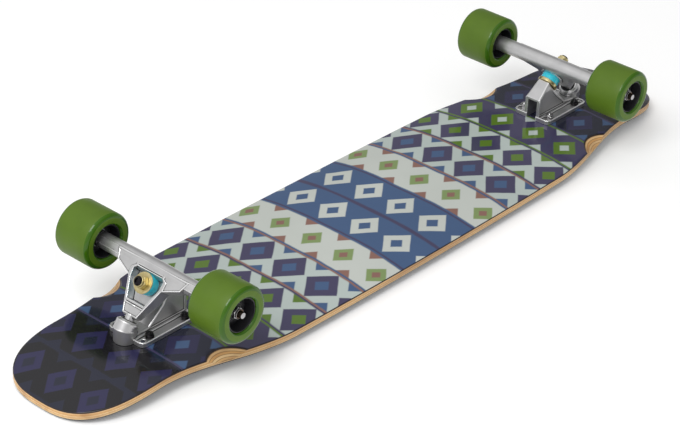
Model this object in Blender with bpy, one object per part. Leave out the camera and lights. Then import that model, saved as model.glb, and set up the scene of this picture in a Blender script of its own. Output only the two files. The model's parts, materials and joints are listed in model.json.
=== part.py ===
"""Longboard lying upside down on its grip face, with two reverse-kingpin trucks and four wheels.

Metres, +Z up from the floor, +X toward the nose, +Y to the left of a viewer who looks along +X.
The origin is under the middle of the deck, at the lowest point of the grip.
A truck is modelled around its axle's middle, +X outboard, and each end of the deck gets one.
A kingpin frame sits at the hanger's ring: +Z along the kingpin toward the road, +X toward the pivot.
"""
import math

import bmesh
import bpy
from mathutils import Matrix
from mathutils import Vector

# Gaps between pieces
SEAT_GAP = 0.0003
RUNNING_GAP = 0.0003
PIVOT_PLAY = 0.0007

# Deck outline, seen from above
DECK_LENGTH = 1.045
DECK_HALF_WIDTH = 0.1133
PLATFORM_SWEEP = 0.0023
PLATFORM_END = 0.235
NECK_START = 0.420
NECK_HALF_WIDTH = 0.082
TIP_POWER = 2.75

# Deck section
DECK_THICKNESS = 0.0108
EDGE_ROUND = 0.0018
FLAT_HALF_WIDTH = 0.030
CONCAVE_DEPTH = 0.0078
CONCAVE_FADE_START = 0.300
CONCAVE_FADE_END = 0.400
CONCAVE_REMAINDER = 0.32
KICK_START = 0.405
KICK_RADIUS = 0.470
GRIP_THICKNESS = 0.0007
GRIP_INSET = 0.0022

# Wheel wells sanded with a tilted drum
WELL_DRUM_RADIUS = 0.058
WELL_TILT = math.radians(32.0)
WELL_REACH_IN = 0.0785
WELL_INBOARD = 0.012
WELL_DRUM_LENGTH = 0.060

# Trucks on the deck
WHEELBASE = 0.702
TRUCK_SHIFT = 0.004
AXLE_HEIGHT = 0.068
HOLE_SPACING_LONG = 0.054
HOLE_SPACING_OLD = 0.0635
HOLE_SPACING_WIDE = 0.0413
HOLES_OUTBOARD = 0.0055

# Mounting bolts and their lock nuts
BOLT_RADIUS = 0.0024
BOLT_HEAD_RADIUS = 0.0046
BOLT_PROUD = 0.0015
BOLT_NUT_HALF_FLATS = 0.0047
BOLT_NUT_HEIGHT = 0.0056
BOLT_CLEARANCE = 0.0004

# Kingpin, washers and bushings
RING_OUTBOARD = 0.0084
RING_DROP = 0.0178
KINGPIN_TILT = math.radians(52.2)
KINGPIN_RADIUS = 0.0047
KINGPIN_PROUD = 0.0018
KINGPIN_HEAD_HALF_FLATS = 0.0064
KINGPIN_HEAD_HEIGHT = 0.0058
KINGPIN_HEAD_CLEARANCE = 0.0006
KINGPIN_NUT_HALF_FLATS = 0.0071
KINGPIN_NUT_HEIGHT = 0.0090
KINGPIN_NUT_COLLAR = 0.0028
BUSHING_RADIUS = 0.0119
BUSHING_EDGE = 0.0012
BUSHING_HEIGHT = 0.0126
WASHER_THICKNESS = 0.0015
ROADSIDE_WASHER_RADIUS = 0.0124
CUP_WALL = 0.0012
CUP_LIP_HEIGHT = 0.0026

# Hanger
HANGER_WIDTH = 0.1814
TUBE_RADIUS = 0.0096
TUBE_MIDDLE_RADIUS = 0.0104
TUBE_TAPER_HALF_LENGTH = 0.050
TUBE_SHOULDER_RADIUS = 0.0068
TUBE_SHOULDER_LENGTH = 0.0030
RING_WEB = 0.0044
RING_COLLAR_WALL = 0.0032
RING_COLLAR_DEPTH = 0.0026
RING_HOLE_RADIUS = 0.0066
YOKE_TOP = 0.0144
YOKE_LENGTH = 0.0397
YOKE_END_HALF_WIDTH = 0.0106
YOKE_WAIST_HALF_WIDTH = 0.0252
YOKE_ARM_HALF_WIDTH = 0.0540
YOKE_CREST = 0.0035
YOKE_BACK = 0.0060
YOKE_WALL = 0.0034
YOKE_BAR = 0.0032
YOKE_RIB = 0.0014
YOKE_PANEL_DEPTH = 0.0009
YOKE_GROOVE = 0.0011
BEAM_SPLIT_HALF_WIDTH = 0.0200
WINDOW_START = 0.0133
WINDOW_END = 0.0225

# Pivot
PIVOT_HEIGHT = 0.0105
PIVOT_REACH = 0.053
PIVOT_NECK_RADIUS = 0.0054
PIVOT_BALL_RADIUS = 0.0058
PIVOT_CUP_WALL = 0.0018
PIVOT_LIP_WIDTH = 0.0008
PIVOT_LIP_THICKNESS = 0.0008
HOUSING_MOUTH = 0.0442
HOUSING_WALL = 0.0042
HOUSING_BOSS_RADIUS = 0.0131
HOUSING_STEP = 0.0008
HOUSING_CHAMFER = 0.0018

# Baseplate
FLANGE_INBOARD = 0.0340
FLANGE_OUTBOARD = 0.0495
FLANGE_HALF_WIDTH = 0.028
FLANGE_CORNER = 0.006
FLANGE_THICKNESS = 0.0045
FLANGE_RIM_HEIGHT = 0.0015
FLANGE_RIM_WIDTH = 0.0020
TOWER_HALF_WIDTH = 0.0114
TOWER_TOP_HALF_WIDTH = 0.0088
TOWER_SIDE_WALL = 0.0042
TOWER_BACK = 0.0328
TOWER_EDGE_ROUND = 0.0016
TOWER_BACK_HEIGHT = 0.0295
TOWER_OVER_KINGPIN = 0.0103
TOWER_SEAT_WALL = 0.0075
TOWER_SEAT_BELOW = 0.0140
TOWER_ROOF = 0.0030
WEB_FOOT_OUTBOARD = 0.0245
WEB_FOOT_HEIGHT = 0.0094
WEB_END_HEIGHT = 0.0068
SIDE_PANEL_DEPTH = 0.0013
SIDE_PANEL_RIB = 0.0028

# Axle, bearings and axle nuts
AXLE_RADIUS = 0.0040
AXLE_PROUD = 0.0046
AXLE_CHAMFER = 0.0006
AXLE_NUT_HALF_FLATS = 0.00635
AXLE_NUT_HEIGHT = 0.0070
SPEED_WASHER = 0.0010
BEARING_RADIUS = 0.0110
BEARING_WIDTH = 0.0070
BEARING_SPACING = 0.0100
INNER_RACE_RADIUS = 0.0057
OUTER_RACE_WALL = 0.0016
SHIELD_THICKNESS = 0.0007

# Wheels
WHEEL_RADIUS = 0.0337
WHEEL_WIDTH = 0.0524
WHEEL_LIP_RADIUS = 0.0052
WHEEL_MOUTH_RADIUS = 0.0220
CORE_RADIUS = 0.0202
CORE_WIDTH = 0.0470
CORE_RIM = 0.0012
CORE_RIM_DRAFT = 0.0008
CORE_COLLAR = 0.0020
CORE_GROOVE_DEPTH = 0.0034
CORE_SHOULDER = 0.0018

# Facets
SMOOTH_ANGLE = math.radians(32.0)
TYRE_SEGMENTS = 28
CORE_SEGMENTS = 14
WELL_SEGMENTS = 60
BEARING_SEGMENTS = 12
RACE_SEGMENTS = 10
ROUND_SEGMENTS = 12
NUT_SEGMENTS = 12
TUBE_SEGMENTS = 20
HOUSING_SEGMENTS = 16
TIP_STEPS = 6
TIP_LAST_ANGLE = math.radians(83.0)
TAPER_STEPS = 5
PLATFORM_STEPS = 3
CONCAVE_STEPS = 2
TIDY_PASSES = 2

# Places that follow from the sizes above
DECK_HALF_LENGTH = DECK_LENGTH / 2.0
KICK_DROP = (DECK_HALF_LENGTH - GRIP_INSET - KICK_START) ** 2 / (2.0 * KICK_RADIUS)
DECK_FACE_Z = KICK_DROP + DECK_THICKNESS + SEAT_GAP + GRIP_THICKNESS
AXLE_Z = DECK_FACE_Z + AXLE_HEIGHT
BASE_Z = -AXLE_HEIGHT + SEAT_GAP
FLANGE_TOP = BASE_Z + FLANGE_THICKNESS
RIM_TOP = FLANGE_TOP + FLANGE_RIM_HEIGHT

ACROSS = Vector((math.cos(KINGPIN_TILT), 0.0, -math.sin(KINGPIN_TILT)))
ALONG = Vector((math.sin(KINGPIN_TILT), 0.0, math.cos(KINGPIN_TILT)))
RING_CENTRE = Vector((RING_OUTBOARD, 0.0, -RING_DROP))
AXLE_ACROSS = -RING_CENTRE.dot(ACROSS)
AXLE_ALONG = -RING_CENTRE.dot(ALONG)

BOARDSIDE_BUSHING_TOP = -(RING_WEB / 2.0 + SEAT_GAP)
BOARDSIDE_BUSHING_FOOT = BOARDSIDE_BUSHING_TOP - BUSHING_HEIGHT
CUP_TOP = BOARDSIDE_BUSHING_FOOT - SEAT_GAP
CUP_FOOT = CUP_TOP - WASHER_THICKNESS
SEAT_ALONG = CUP_FOOT - SEAT_GAP
HEAD_TOP = SEAT_ALONG - TOWER_SEAT_WALL - SEAT_GAP
ROADSIDE_BUSHING_FOOT = RING_WEB / 2.0 + SEAT_GAP
ROADSIDE_WASHER_FOOT = ROADSIDE_BUSHING_FOOT + BUSHING_HEIGHT + SEAT_GAP
KINGPIN_NUT_FOOT = ROADSIDE_WASHER_FOOT + WASHER_THICKNESS + SEAT_GAP
KINGPIN_END = KINGPIN_NUT_FOOT + KINGPIN_NUT_HEIGHT + KINGPIN_PROUD
KINGPIN_BORE = KINGPIN_RADIUS + SEAT_GAP

PIVOT_BALL_BORE = PIVOT_BALL_RADIUS + PIVOT_PLAY
PIVOT_CUP_RADIUS = PIVOT_BALL_BORE + PIVOT_CUP_WALL
HOUSING_BORE = PIVOT_CUP_RADIUS + SEAT_GAP
HOUSING_RADIUS = HOUSING_BORE + HOUSING_WALL

RACE_FOOT = HANGER_WIDTH / 2.0 + SEAT_GAP
INBOARD_BEARING = RACE_FOOT + SPEED_WASHER
WHEEL_CENTRE = INBOARD_BEARING + BEARING_WIDTH + BEARING_SPACING / 2.0
OUTBOARD_BEARING = WHEEL_CENTRE + BEARING_SPACING / 2.0
AXLE_NUT_FOOT = OUTBOARD_BEARING + BEARING_WIDTH + SPEED_WASHER + SEAT_GAP
AXLE_HALF_LENGTH = AXLE_NUT_FOOT + AXLE_NUT_HEIGHT + AXLE_PROUD


def clear_scene():
    """Remove whatever objects the file holds."""
    for old in list(bpy.data.objects):
        bpy.data.objects.remove(old, do_unlink=True)


def make_material(name, color, roughness, metallic=0.0):
    """A Principled material of one colour."""
    made = bpy.data.materials.new(name)
    made.use_nodes = True
    shader = made.node_tree.nodes["Principled BSDF"]
    shader.inputs["Base Color"].default_value = (*color, 1.0)
    shader.inputs["Roughness"].default_value = roughness
    shader.inputs["Metallic"].default_value = metallic
    return made


def mesh_from(form, name):
    """Turn a bmesh into a mesh with its faces out and its round sides shaded smooth."""
    bmesh.ops.recalc_face_normals(form, faces=form.faces)
    mesh = bpy.data.meshes.new(name)
    form.to_mesh(mesh)
    form.free()
    mesh.shade_smooth()
    mesh.set_sharp_from_angle(angle=SMOOTH_ANGLE)
    return mesh


def ring_of(form, row, segments):
    """The vertices of one row of a turned form; a row with flats is a regular polygon."""
    radius, height = row[0], row[1]
    flats = row[2] if len(row) > 2 else 0
    if radius == 0.0:
        return [form.verts.new((0.0, 0.0, height))]
    ring = []
    for step in range(segments):
        angle = math.tau * step / segments
        reach = radius
        if flats:
            wedge = math.tau / flats
            reach = radius / math.cos((angle + wedge / 2.0) % wedge - wedge / 2.0)
        ring.append(form.verts.new((reach * math.cos(angle), reach * math.sin(angle), height)))
    return ring


def bridge(form, first, second):
    """Faces between two rings of a turned form, either of which may be a pole."""
    count = max(len(first), len(second))
    for step in range(count):
        after = (step + 1) % count
        corners = []
        corners.append(first[step] if len(first) > 1 else first[0])
        if len(first) > 1:
            corners.append(first[after])
        if len(second) > 1:
            corners.append(second[after])
        corners.append(second[step] if len(second) > 1 else second[0])
        form.faces.new(corners)


def turned(name, rows, segments):
    """A form turned about Z from rows of radius and height, solid between poles or else a ring."""
    form = bmesh.new()
    rings = [ring_of(form, row, segments) for row in rows]
    for first, second in zip(rings[:-1], rings[1:]):
        bridge(form, first, second)
    if len(rings[0]) > 1:
        bridge(form, rings[-1], rings[0])
    return mesh_from(form, name)


def arc_rows(centre_radius, centre_height, radius, start, end, steps):
    """Rows along an arc of a turned form's section, with angles from +radius toward +height."""
    rows = []
    for step in range(steps + 1):
        angle = start + (end - start) * step / steps
        rows.append((centre_radius + radius * math.cos(angle), centre_height + radius * math.sin(angle)))
    return rows


def plate(name, outline, low, high):
    """An outline in X and Y, extruded along Z from low to high."""
    form = bmesh.new()
    corners = [form.verts.new((x, y, low)) for x, y in outline]
    face = form.faces.new(corners)
    grown = bmesh.ops.extrude_face_region(form, geom=[face])
    raised = [item for item in grown["geom"] if isinstance(item, bmesh.types.BMVert)]
    bmesh.ops.translate(form, verts=raised, vec=(0.0, 0.0, high - low))
    return mesh_from(form, name)


def side_profile(name, outline, half_width):
    """An outline in X and Z, extruded along Y to both sides of the middle."""
    mesh = plate(name, [(x, -z) for x, z in outline], -half_width, half_width)
    mesh.transform(Matrix.Rotation(-math.pi / 2.0, 4, "X"))
    return mesh


def front_profile(name, outline, low_x, high_x):
    """An outline in Y and Z, extruded along X."""
    turn = Matrix(((0.0, 0.0, 1.0, 0.0), (1.0, 0.0, 0.0, 0.0), (0.0, 1.0, 0.0, 0.0), (0.0, 0.0, 0.0, 1.0)))
    return moved(plate(name, outline, low_x, high_x), turn)


def inset(outline, distance):
    """An outline with every edge moved inward by a distance."""
    corners = [Vector(corner) for corner in outline]
    count = len(corners)
    area = sum(corners[step - 1].cross(corners[step]) for step in range(count))
    edges = []
    for step in range(count):
        run = (corners[(step + 1) % count] - corners[step]).normalized()
        inward = Vector((-run.y, run.x)) * math.copysign(distance, area)
        edges.append((corners[step] + inward, run))
    moved_in = []
    for step in range(count):
        (first, run), (second, other) = edges[step - 1], edges[step]
        moved_in.append(first + run * ((second - first).cross(other) / run.cross(other)))
    return [tuple(corner) for corner in moved_in]


def mirrored(half_outline):
    """A closed outline from its points on the +Y side."""
    return list(half_outline) + [(x, -y) for x, y in reversed(half_outline)]


def moved(mesh, matrix):
    """The same mesh after a transform."""
    mesh.transform(matrix)
    return mesh


def shift(x, y, z):
    """A translation."""
    return Matrix.Translation((x, y, z))


def combined(base, tools, operation):
    """The mesh that a boolean of the base with each tool in turn leaves."""
    scene = bpy.context.scene
    body = bpy.data.objects.new(base.name, base)
    scene.collection.objects.link(body)
    helpers = []
    for tool in tools:
        helper = bpy.data.objects.new(tool.name, tool)
        scene.collection.objects.link(helper)
        helpers.append(helper)
        change = body.modifiers.new(operation.lower(), "BOOLEAN")
        change.operation = operation
        change.object = helper
    graph = bpy.context.evaluated_depsgraph_get()
    graph.update()
    result = bpy.data.meshes.new_from_object(body.evaluated_get(graph))
    for helper in [body] + helpers:
        bpy.data.objects.remove(helper, do_unlink=True)
    return result


def tidied(mesh, name):
    """A cut mesh with its coplanar facets joined again."""
    form = bmesh.new()
    form.from_mesh(mesh)
    bmesh.ops.remove_doubles(form, verts=form.verts, dist=0.000002)
    for _ in range(TIDY_PASSES):
        bmesh.ops.dissolve_limit(form, angle_limit=math.radians(0.5), verts=form.verts, edges=form.edges)
    return mesh_from(form, name)


def crested(mesh, width):
    """A block with its upper edges along the sides rounded in two facets."""
    form = bmesh.new()
    form.from_mesh(mesh)
    bmesh.ops.dissolve_limit(form, angle_limit=math.radians(0.5), verts=form.verts, edges=form.edges)
    crest = []
    for edge in form.edges:
        side, top = sorted(edge.link_faces, key=lambda face: -abs(face.normal.y))
        if abs(side.normal.y) > 0.8 and abs(top.normal.y) < 0.3 and top.normal.z > 0.1:
            crest.append(edge)
    bmesh.ops.bevel(form, geom=crest, offset=width, offset_type="OFFSET", segments=2, profile=0.5, affect="EDGES")
    return mesh_from(form, mesh.name)


def place(name, mesh, finish, parent=None, matrix=None):
    """A named object of a mesh with its own material slot, placed under its parent."""
    mesh.materials.clear()
    mesh.materials.append(finish)
    made = bpy.data.objects.new(name, mesh)
    bpy.context.scene.collection.objects.link(made)
    made.parent = parent
    if matrix is not None:
        made.matrix_local = matrix
    return made


def empty(name, matrix, parent=None):
    """An empty that carries other objects."""
    made = bpy.data.objects.new(name, None)
    bpy.context.scene.collection.objects.link(made)
    made.parent = parent
    made.matrix_local = matrix
    return made


def eased(value):
    """A smooth step from 0 to 1."""
    held = min(max(value, 0.0), 1.0)
    return held * held * (3.0 - 2.0 * held)


def half_width(x):
    """Half of the deck's width at x, up to the neck."""
    along = abs(x)
    platform = DECK_HALF_WIDTH - PLATFORM_SWEEP * min(along / PLATFORM_END, 1.0) ** 2
    taper = eased((along - PLATFORM_END) / (NECK_START - PLATFORM_END))
    return platform + (NECK_HALF_WIDTH - platform) * taper


def face_drop(x, y):
    """How far the deck's printed face lies below its level middle at x, y."""
    kick = max(abs(x) - KICK_START, 0.0) ** 2 / (2.0 * KICK_RADIUS)
    rise = max(abs(y) - FLAT_HALF_WIDTH, 0.0) / (DECK_HALF_WIDTH - FLAT_HALF_WIDTH)
    fade = eased((abs(x) - CONCAVE_FADE_START) / (CONCAVE_FADE_END - CONCAVE_FADE_START))
    return kick + CONCAVE_DEPTH * (1.0 - (1.0 - CONCAVE_REMAINDER) * fade) * rise ** 2


def outline_half():
    """Points along the +Y edge of the deck, from its middle to the tip."""
    points = []
    for step in range(PLATFORM_STEPS):
        x = PLATFORM_END * step / PLATFORM_STEPS
        points.append(Vector((x, half_width(x))))
    for step in range(TAPER_STEPS):
        x = PLATFORM_END + (NECK_START - PLATFORM_END) * step / TAPER_STEPS
        points.append(Vector((x, half_width(x))))
    for step in range(TIP_STEPS + 1):
        angle = TIP_LAST_ANGLE * step / TIP_STEPS
        x = NECK_START + (DECK_HALF_LENGTH - NECK_START) * math.sin(angle) ** (2.0 / TIP_POWER)
        points.append(Vector((x, NECK_HALF_WIDTH * math.cos(angle) ** (2.0 / TIP_POWER))))
    reach = DECK_HALF_LENGTH - NECK_START
    points[-1].x = NECK_START + reach
    return points


def outline_stations():
    """Edge points from tail to nose, each with the outward normal of the edge."""
    half = outline_half()
    edge = [Vector((-point.x, point.y)) for point in reversed(half[1:])] + half
    stations = []
    for index, point in enumerate(edge):
        before = edge[max(index - 1, 0)]
        after = edge[min(index + 1, len(edge) - 1)]
        run = (after - before).normalized()
        stations.append((point, Vector((-run.y, run.x))))
    return stations


def sheet_loop(form, point, normal, edge_rows, top_drop):
    """The closed loop of vertices across the sheet at one station."""
    inset = edge_rows[0][0]
    inner = point - normal * inset
    flat = min(FLAT_HALF_WIDTH, 0.55 * inner.y)
    lines = [flat + (inner.y - flat) * step / CONCAVE_STEPS for step in range(CONCAVE_STEPS + 1)]
    ordered = [-y for y in reversed(lines)] + lines

    def level(x, y, drop):
        return DECK_FACE_Z - face_drop(x, y) - top_drop - drop

    loop = [form.verts.new((inner.x, y, level(inner.x, y, 0.0))) for y in ordered]
    sides = []
    for row_inset, drop in edge_rows[1:-1]:
        spot = point - normal * row_inset
        sides.append((spot.x, spot.y, level(inner.x, inner.y, drop)))
    loop += [form.verts.new(spot) for spot in sides]
    last_inset, thickness = edge_rows[-1]
    foot = point - normal * last_inset
    scale = foot.y / inner.y
    loop += [form.verts.new((foot.x, y * scale, level(inner.x, y, thickness))) for y in reversed(ordered)]
    loop += [form.verts.new((x, -y, z)) for x, y, z in reversed(sides)]
    return loop


def close_tip(form, loop, across, side_rows):
    """Close the end of a sheet between its two sides, row by row."""
    top = loop[:across]
    right = loop[across:across + side_rows]
    foot = loop[across + side_rows:2 * across + side_rows]
    left = list(reversed(loop[2 * across + side_rows:]))
    if not side_rows:
        form.faces.new(top + foot)
        return
    form.faces.new(top + [right[0], left[0]])
    for row in range(side_rows - 1):
        form.faces.new([left[row], right[row], right[row + 1], left[row + 1]])
    form.faces.new([left[-1], right[-1]] + foot)


def split_outward(form):
    """Split each twisted four-sided face from its corner nearest the board's middle."""
    for face in [face for face in form.faces if len(face.verts) == 4]:
        corners = list(face.verts)
        start = min(range(4), key=lambda index: abs(corners[index].co.x) + abs(corners[index].co.y))
        bmesh.utils.face_split(face, corners[start], corners[(start + 2) % 4])


def sheet(name, edge_rows, top_drop):
    """A sheet that follows the deck's curves, from its top face down through rows of its edge."""
    form = bmesh.new()
    loops = [sheet_loop(form, point, normal, edge_rows, top_drop) for point, normal in outline_stations()]
    for first, second in zip(loops[:-1], loops[1:]):
        bridge(form, first, second)
    across = 2 * (CONCAVE_STEPS + 1)
    side_rows = len(edge_rows) - 2
    close_tip(form, loops[0], across, side_rows)
    close_tip(form, loops[-1], across, side_rows)
    split_outward(form)
    return mesh_from(form, name)


def truck_places():
    """Name, matrix and sign along X of each truck."""
    nose = shift(TRUCK_SHIFT + WHEELBASE / 2.0, 0.0, AXLE_Z)
    tail = shift(TRUCK_SHIFT - WHEELBASE / 2.0, 0.0, AXLE_Z) @ Matrix.Rotation(math.pi, 4, "Z")
    return [("front", nose, 1), ("rear", tail, -1)]


def bolt_places():
    """Name and truck position of each mounting bolt."""
    places = []
    for along_name, along in (("outboard", 0.5), ("inboard", -0.5)):
        for side_name, side in (("a", 0.5), ("b", -0.5)):
            x = HOLES_OUTBOARD + along * HOLE_SPACING_LONG
            places.append((along_name + "_" + side_name, x, side * HOLE_SPACING_WIDE))
    return places


def bolt_foot():
    """Height of a bolt's head, flush with the grip, in the truck's frame."""
    return -AXLE_HEIGHT - DECK_THICKNESS - SEAT_GAP - GRIP_THICKNESS


def bolt_shape(name, grow):
    """A mounting bolt's countersunk shaft, or with grow the hole that takes it."""
    foot = bolt_foot()
    cone = BOLT_HEAD_RADIUS - BOLT_RADIUS
    rows = [(0.0, foot - grow)]
    if grow:
        rows.append((BOLT_HEAD_RADIUS + 2.0 * grow, foot - grow))
    else:
        rows.append((BOLT_HEAD_RADIUS, foot))
    rows.append((BOLT_RADIUS + grow, foot + cone + grow * 0.4))
    if grow:
        rows.append((BOLT_RADIUS + grow, RIM_TOP + grow))
        rows.append((0.0, RIM_TOP + grow))
    else:
        nut_foot = FLANGE_TOP + SEAT_GAP
        nut_top = nut_foot + BOLT_NUT_HEIGHT
        collar = BOLT_NUT_HALF_FLATS - BOLT_RADIUS
        rows.append((BOLT_RADIUS, nut_foot))
        rows.append((BOLT_NUT_HALF_FLATS, nut_foot, 6))
        rows.append((BOLT_NUT_HALF_FLATS, nut_top - collar, 6))
        rows.append((BOLT_RADIUS, nut_top))
        rows.append((BOLT_RADIUS, nut_top + BOLT_PROUD))
        rows.append((0.0, nut_top + BOLT_PROUD))
    return turned(name, rows, NUT_SEGMENTS)


def bolt_hole_cutters():
    """The eight countersunk holes through grip, deck and baseplates, in the board's frame."""
    cutters = []
    for end, matrix, _ in truck_places():
        for spot, x, y in bolt_places():
            hole = bolt_shape(end + "_hole_" + spot, BOLT_CLEARANCE)
            cutters.append(moved(hole, matrix @ shift(x, y, 0.0)))
    return cutters


def well_cutters():
    """The four tilted drums that sand the wheel wells."""
    drums = []
    for end, _, sign in truck_places():
        for side in (1, -1):
            x = sign * (WHEELBASE / 2.0 - WELL_INBOARD)
            apex = Vector((x, side * WELL_REACH_IN, DECK_FACE_Z - face_drop(x, WELL_REACH_IN)))
            outward = Vector((0.0, side * math.cos(WELL_TILT), -math.sin(WELL_TILT)))
            normal = Vector((0.0, side * math.sin(WELL_TILT), math.cos(WELL_TILT)))
            rows = [(0.0, 0.0), (WELL_DRUM_RADIUS, 0.0)]
            rows += [(WELL_DRUM_RADIUS, WELL_DRUM_LENGTH), (0.0, WELL_DRUM_LENGTH)]
            drum = turned(end + "_drum", rows, WELL_SEGMENTS)
            turn = outward.to_track_quat("Z", "Y").to_matrix().to_4x4()
            middle = apex + normal * WELL_DRUM_RADIUS
            drums.append(moved(drum, shift(*middle) @ turn))
    return drums


def make_deck(finish):
    """The laminated deck with rounded edges, wheel wells and bolt holes."""
    rows = [(EDGE_ROUND, 0.0), (0.0, EDGE_ROUND)]
    rows += [(inset, DECK_THICKNESS - drop) for inset, drop in reversed(rows)]
    blank = sheet("deck_blank", rows, 0.0)
    cut = combined(blank, well_cutters() + bolt_hole_cutters(), "DIFFERENCE")
    return place("deck", tidied(cut, "deck"), finish)


def make_grip(finish):
    """The grip sheet under the deck."""
    rows = [(GRIP_INSET, 0.0), (GRIP_INSET, GRIP_THICKNESS)]
    blank = sheet("grip_blank", rows, DECK_THICKNESS + SEAT_GAP)
    cut = combined(blank, bolt_hole_cutters(), "DIFFERENCE")
    return place("grip_tape", tidied(cut, "grip_tape"), finish)


def kingpin_point(across, along):
    """Truck coordinates X and Z of a point given in the kingpin frame."""
    spot = RING_CENTRE + ACROSS * across + ALONG * along
    return (spot.x, spot.z)


def kingpin_frame():
    """The kingpin frame in the truck's frame."""
    return shift(*RING_CENTRE) @ Matrix.Rotation(KINGPIN_TILT, 4, "Y")


def rounded_rectangle(low_x, high_x, half_width_y, corner):
    """A rectangle with two-facet corners."""
    ease = corner * (1.0 - math.sqrt(0.5))
    half = [(low_x, half_width_y - corner), (low_x + ease, half_width_y - ease)]
    half += [(low_x + corner, half_width_y), (high_x - corner, half_width_y)]
    half += [(high_x - ease, half_width_y - ease), (high_x, half_width_y - corner)]
    return mirrored(half)


def tower_outline():
    """The baseplate's middle wall in X and Z: tower, kingpin seat and web down to the housing."""
    seat_over = kingpin_point(-TOWER_OVER_KINGPIN, SEAT_ALONG)
    seat_below = kingpin_point(TOWER_SEAT_BELOW, SEAT_ALONG)
    pivot_x = kingpin_point(PIVOT_REACH, PIVOT_HEIGHT)[0]
    back_top = (-TOWER_BACK, BASE_Z + TOWER_BACK_HEIGHT)
    web_foot = (WEB_FOOT_OUTBOARD, BASE_Z + WEB_FOOT_HEIGHT)
    end_x = pivot_x + HOUSING_WALL
    web_end = (end_x, BASE_Z + WEB_END_HEIGHT)
    foot = BASE_Z + 0.5 * FLANGE_THICKNESS
    return [(-TOWER_BACK, foot), back_top, seat_over, seat_below, web_foot, web_end, (end_x, foot)]


def tower_block():
    """The solid tower and web, with drafted sides and a rounded crest."""
    outline = tower_outline()
    draft_start = BASE_Z + TOWER_BACK_HEIGHT - 2.0 * TOWER_EDGE_ROUND
    top = outline[2][1]
    draft = (TOWER_HALF_WIDTH - TOWER_TOP_HALF_WIDTH) / (top - draft_start)
    half = [(TOWER_HALF_WIDTH, BASE_Z), (TOWER_HALF_WIDTH, draft_start)]
    half.append((TOWER_TOP_HALF_WIDTH - draft * TOWER_ROOF, top + TOWER_ROOF))
    front = half + [(-y, z) for y, z in reversed(half)]
    reach = 2.0 * FLANGE_OUTBOARD
    envelope = front_profile("tower_front", front, -reach, reach)
    side = side_profile("tower", outline, 2.0 * TOWER_HALF_WIDTH)
    return crested(combined(side, [envelope], "INTERSECT"), TOWER_EDGE_ROUND)


def hollow_outline():
    """The tower's hollow, open at the back and underneath, with room for the kingpin's head."""
    wall = SEAT_ALONG - TOWER_SEAT_WALL
    room = KINGPIN_HEAD_HALF_FLATS / math.cos(math.pi / 6.0) + KINGPIN_HEAD_CLEARANCE
    roof = kingpin_point(-room, wall)
    under_head = kingpin_point(-room, HEAD_TOP - KINGPIN_HEAD_HEIGHT - KINGPIN_HEAD_CLEARANCE)
    front = kingpin_point(room + 2.0 * TOWER_ROOF, wall)
    back_z = BASE_Z + TOWER_BACK_HEIGHT - TOWER_ROOF
    beyond = -TOWER_BACK - FLANGE_INBOARD
    below = BASE_Z - FLANGE_THICKNESS
    foot_x = front[0] + TOWER_ROOF
    return [(beyond, below), (beyond, back_z), (-TOWER_BACK, back_z), under_head, roof, front, (foot_x, below)]


def panel_outline():
    """The shallow panel in each side of the tower, inside its ribs."""
    corners = tower_outline()
    low = RIM_TOP + SIDE_PANEL_DEPTH - SIDE_PANEL_RIB
    return inset([(corners[0][0], low)] + corners[1:5] + [(corners[4][0], low)], SIDE_PANEL_RIB)


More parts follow.
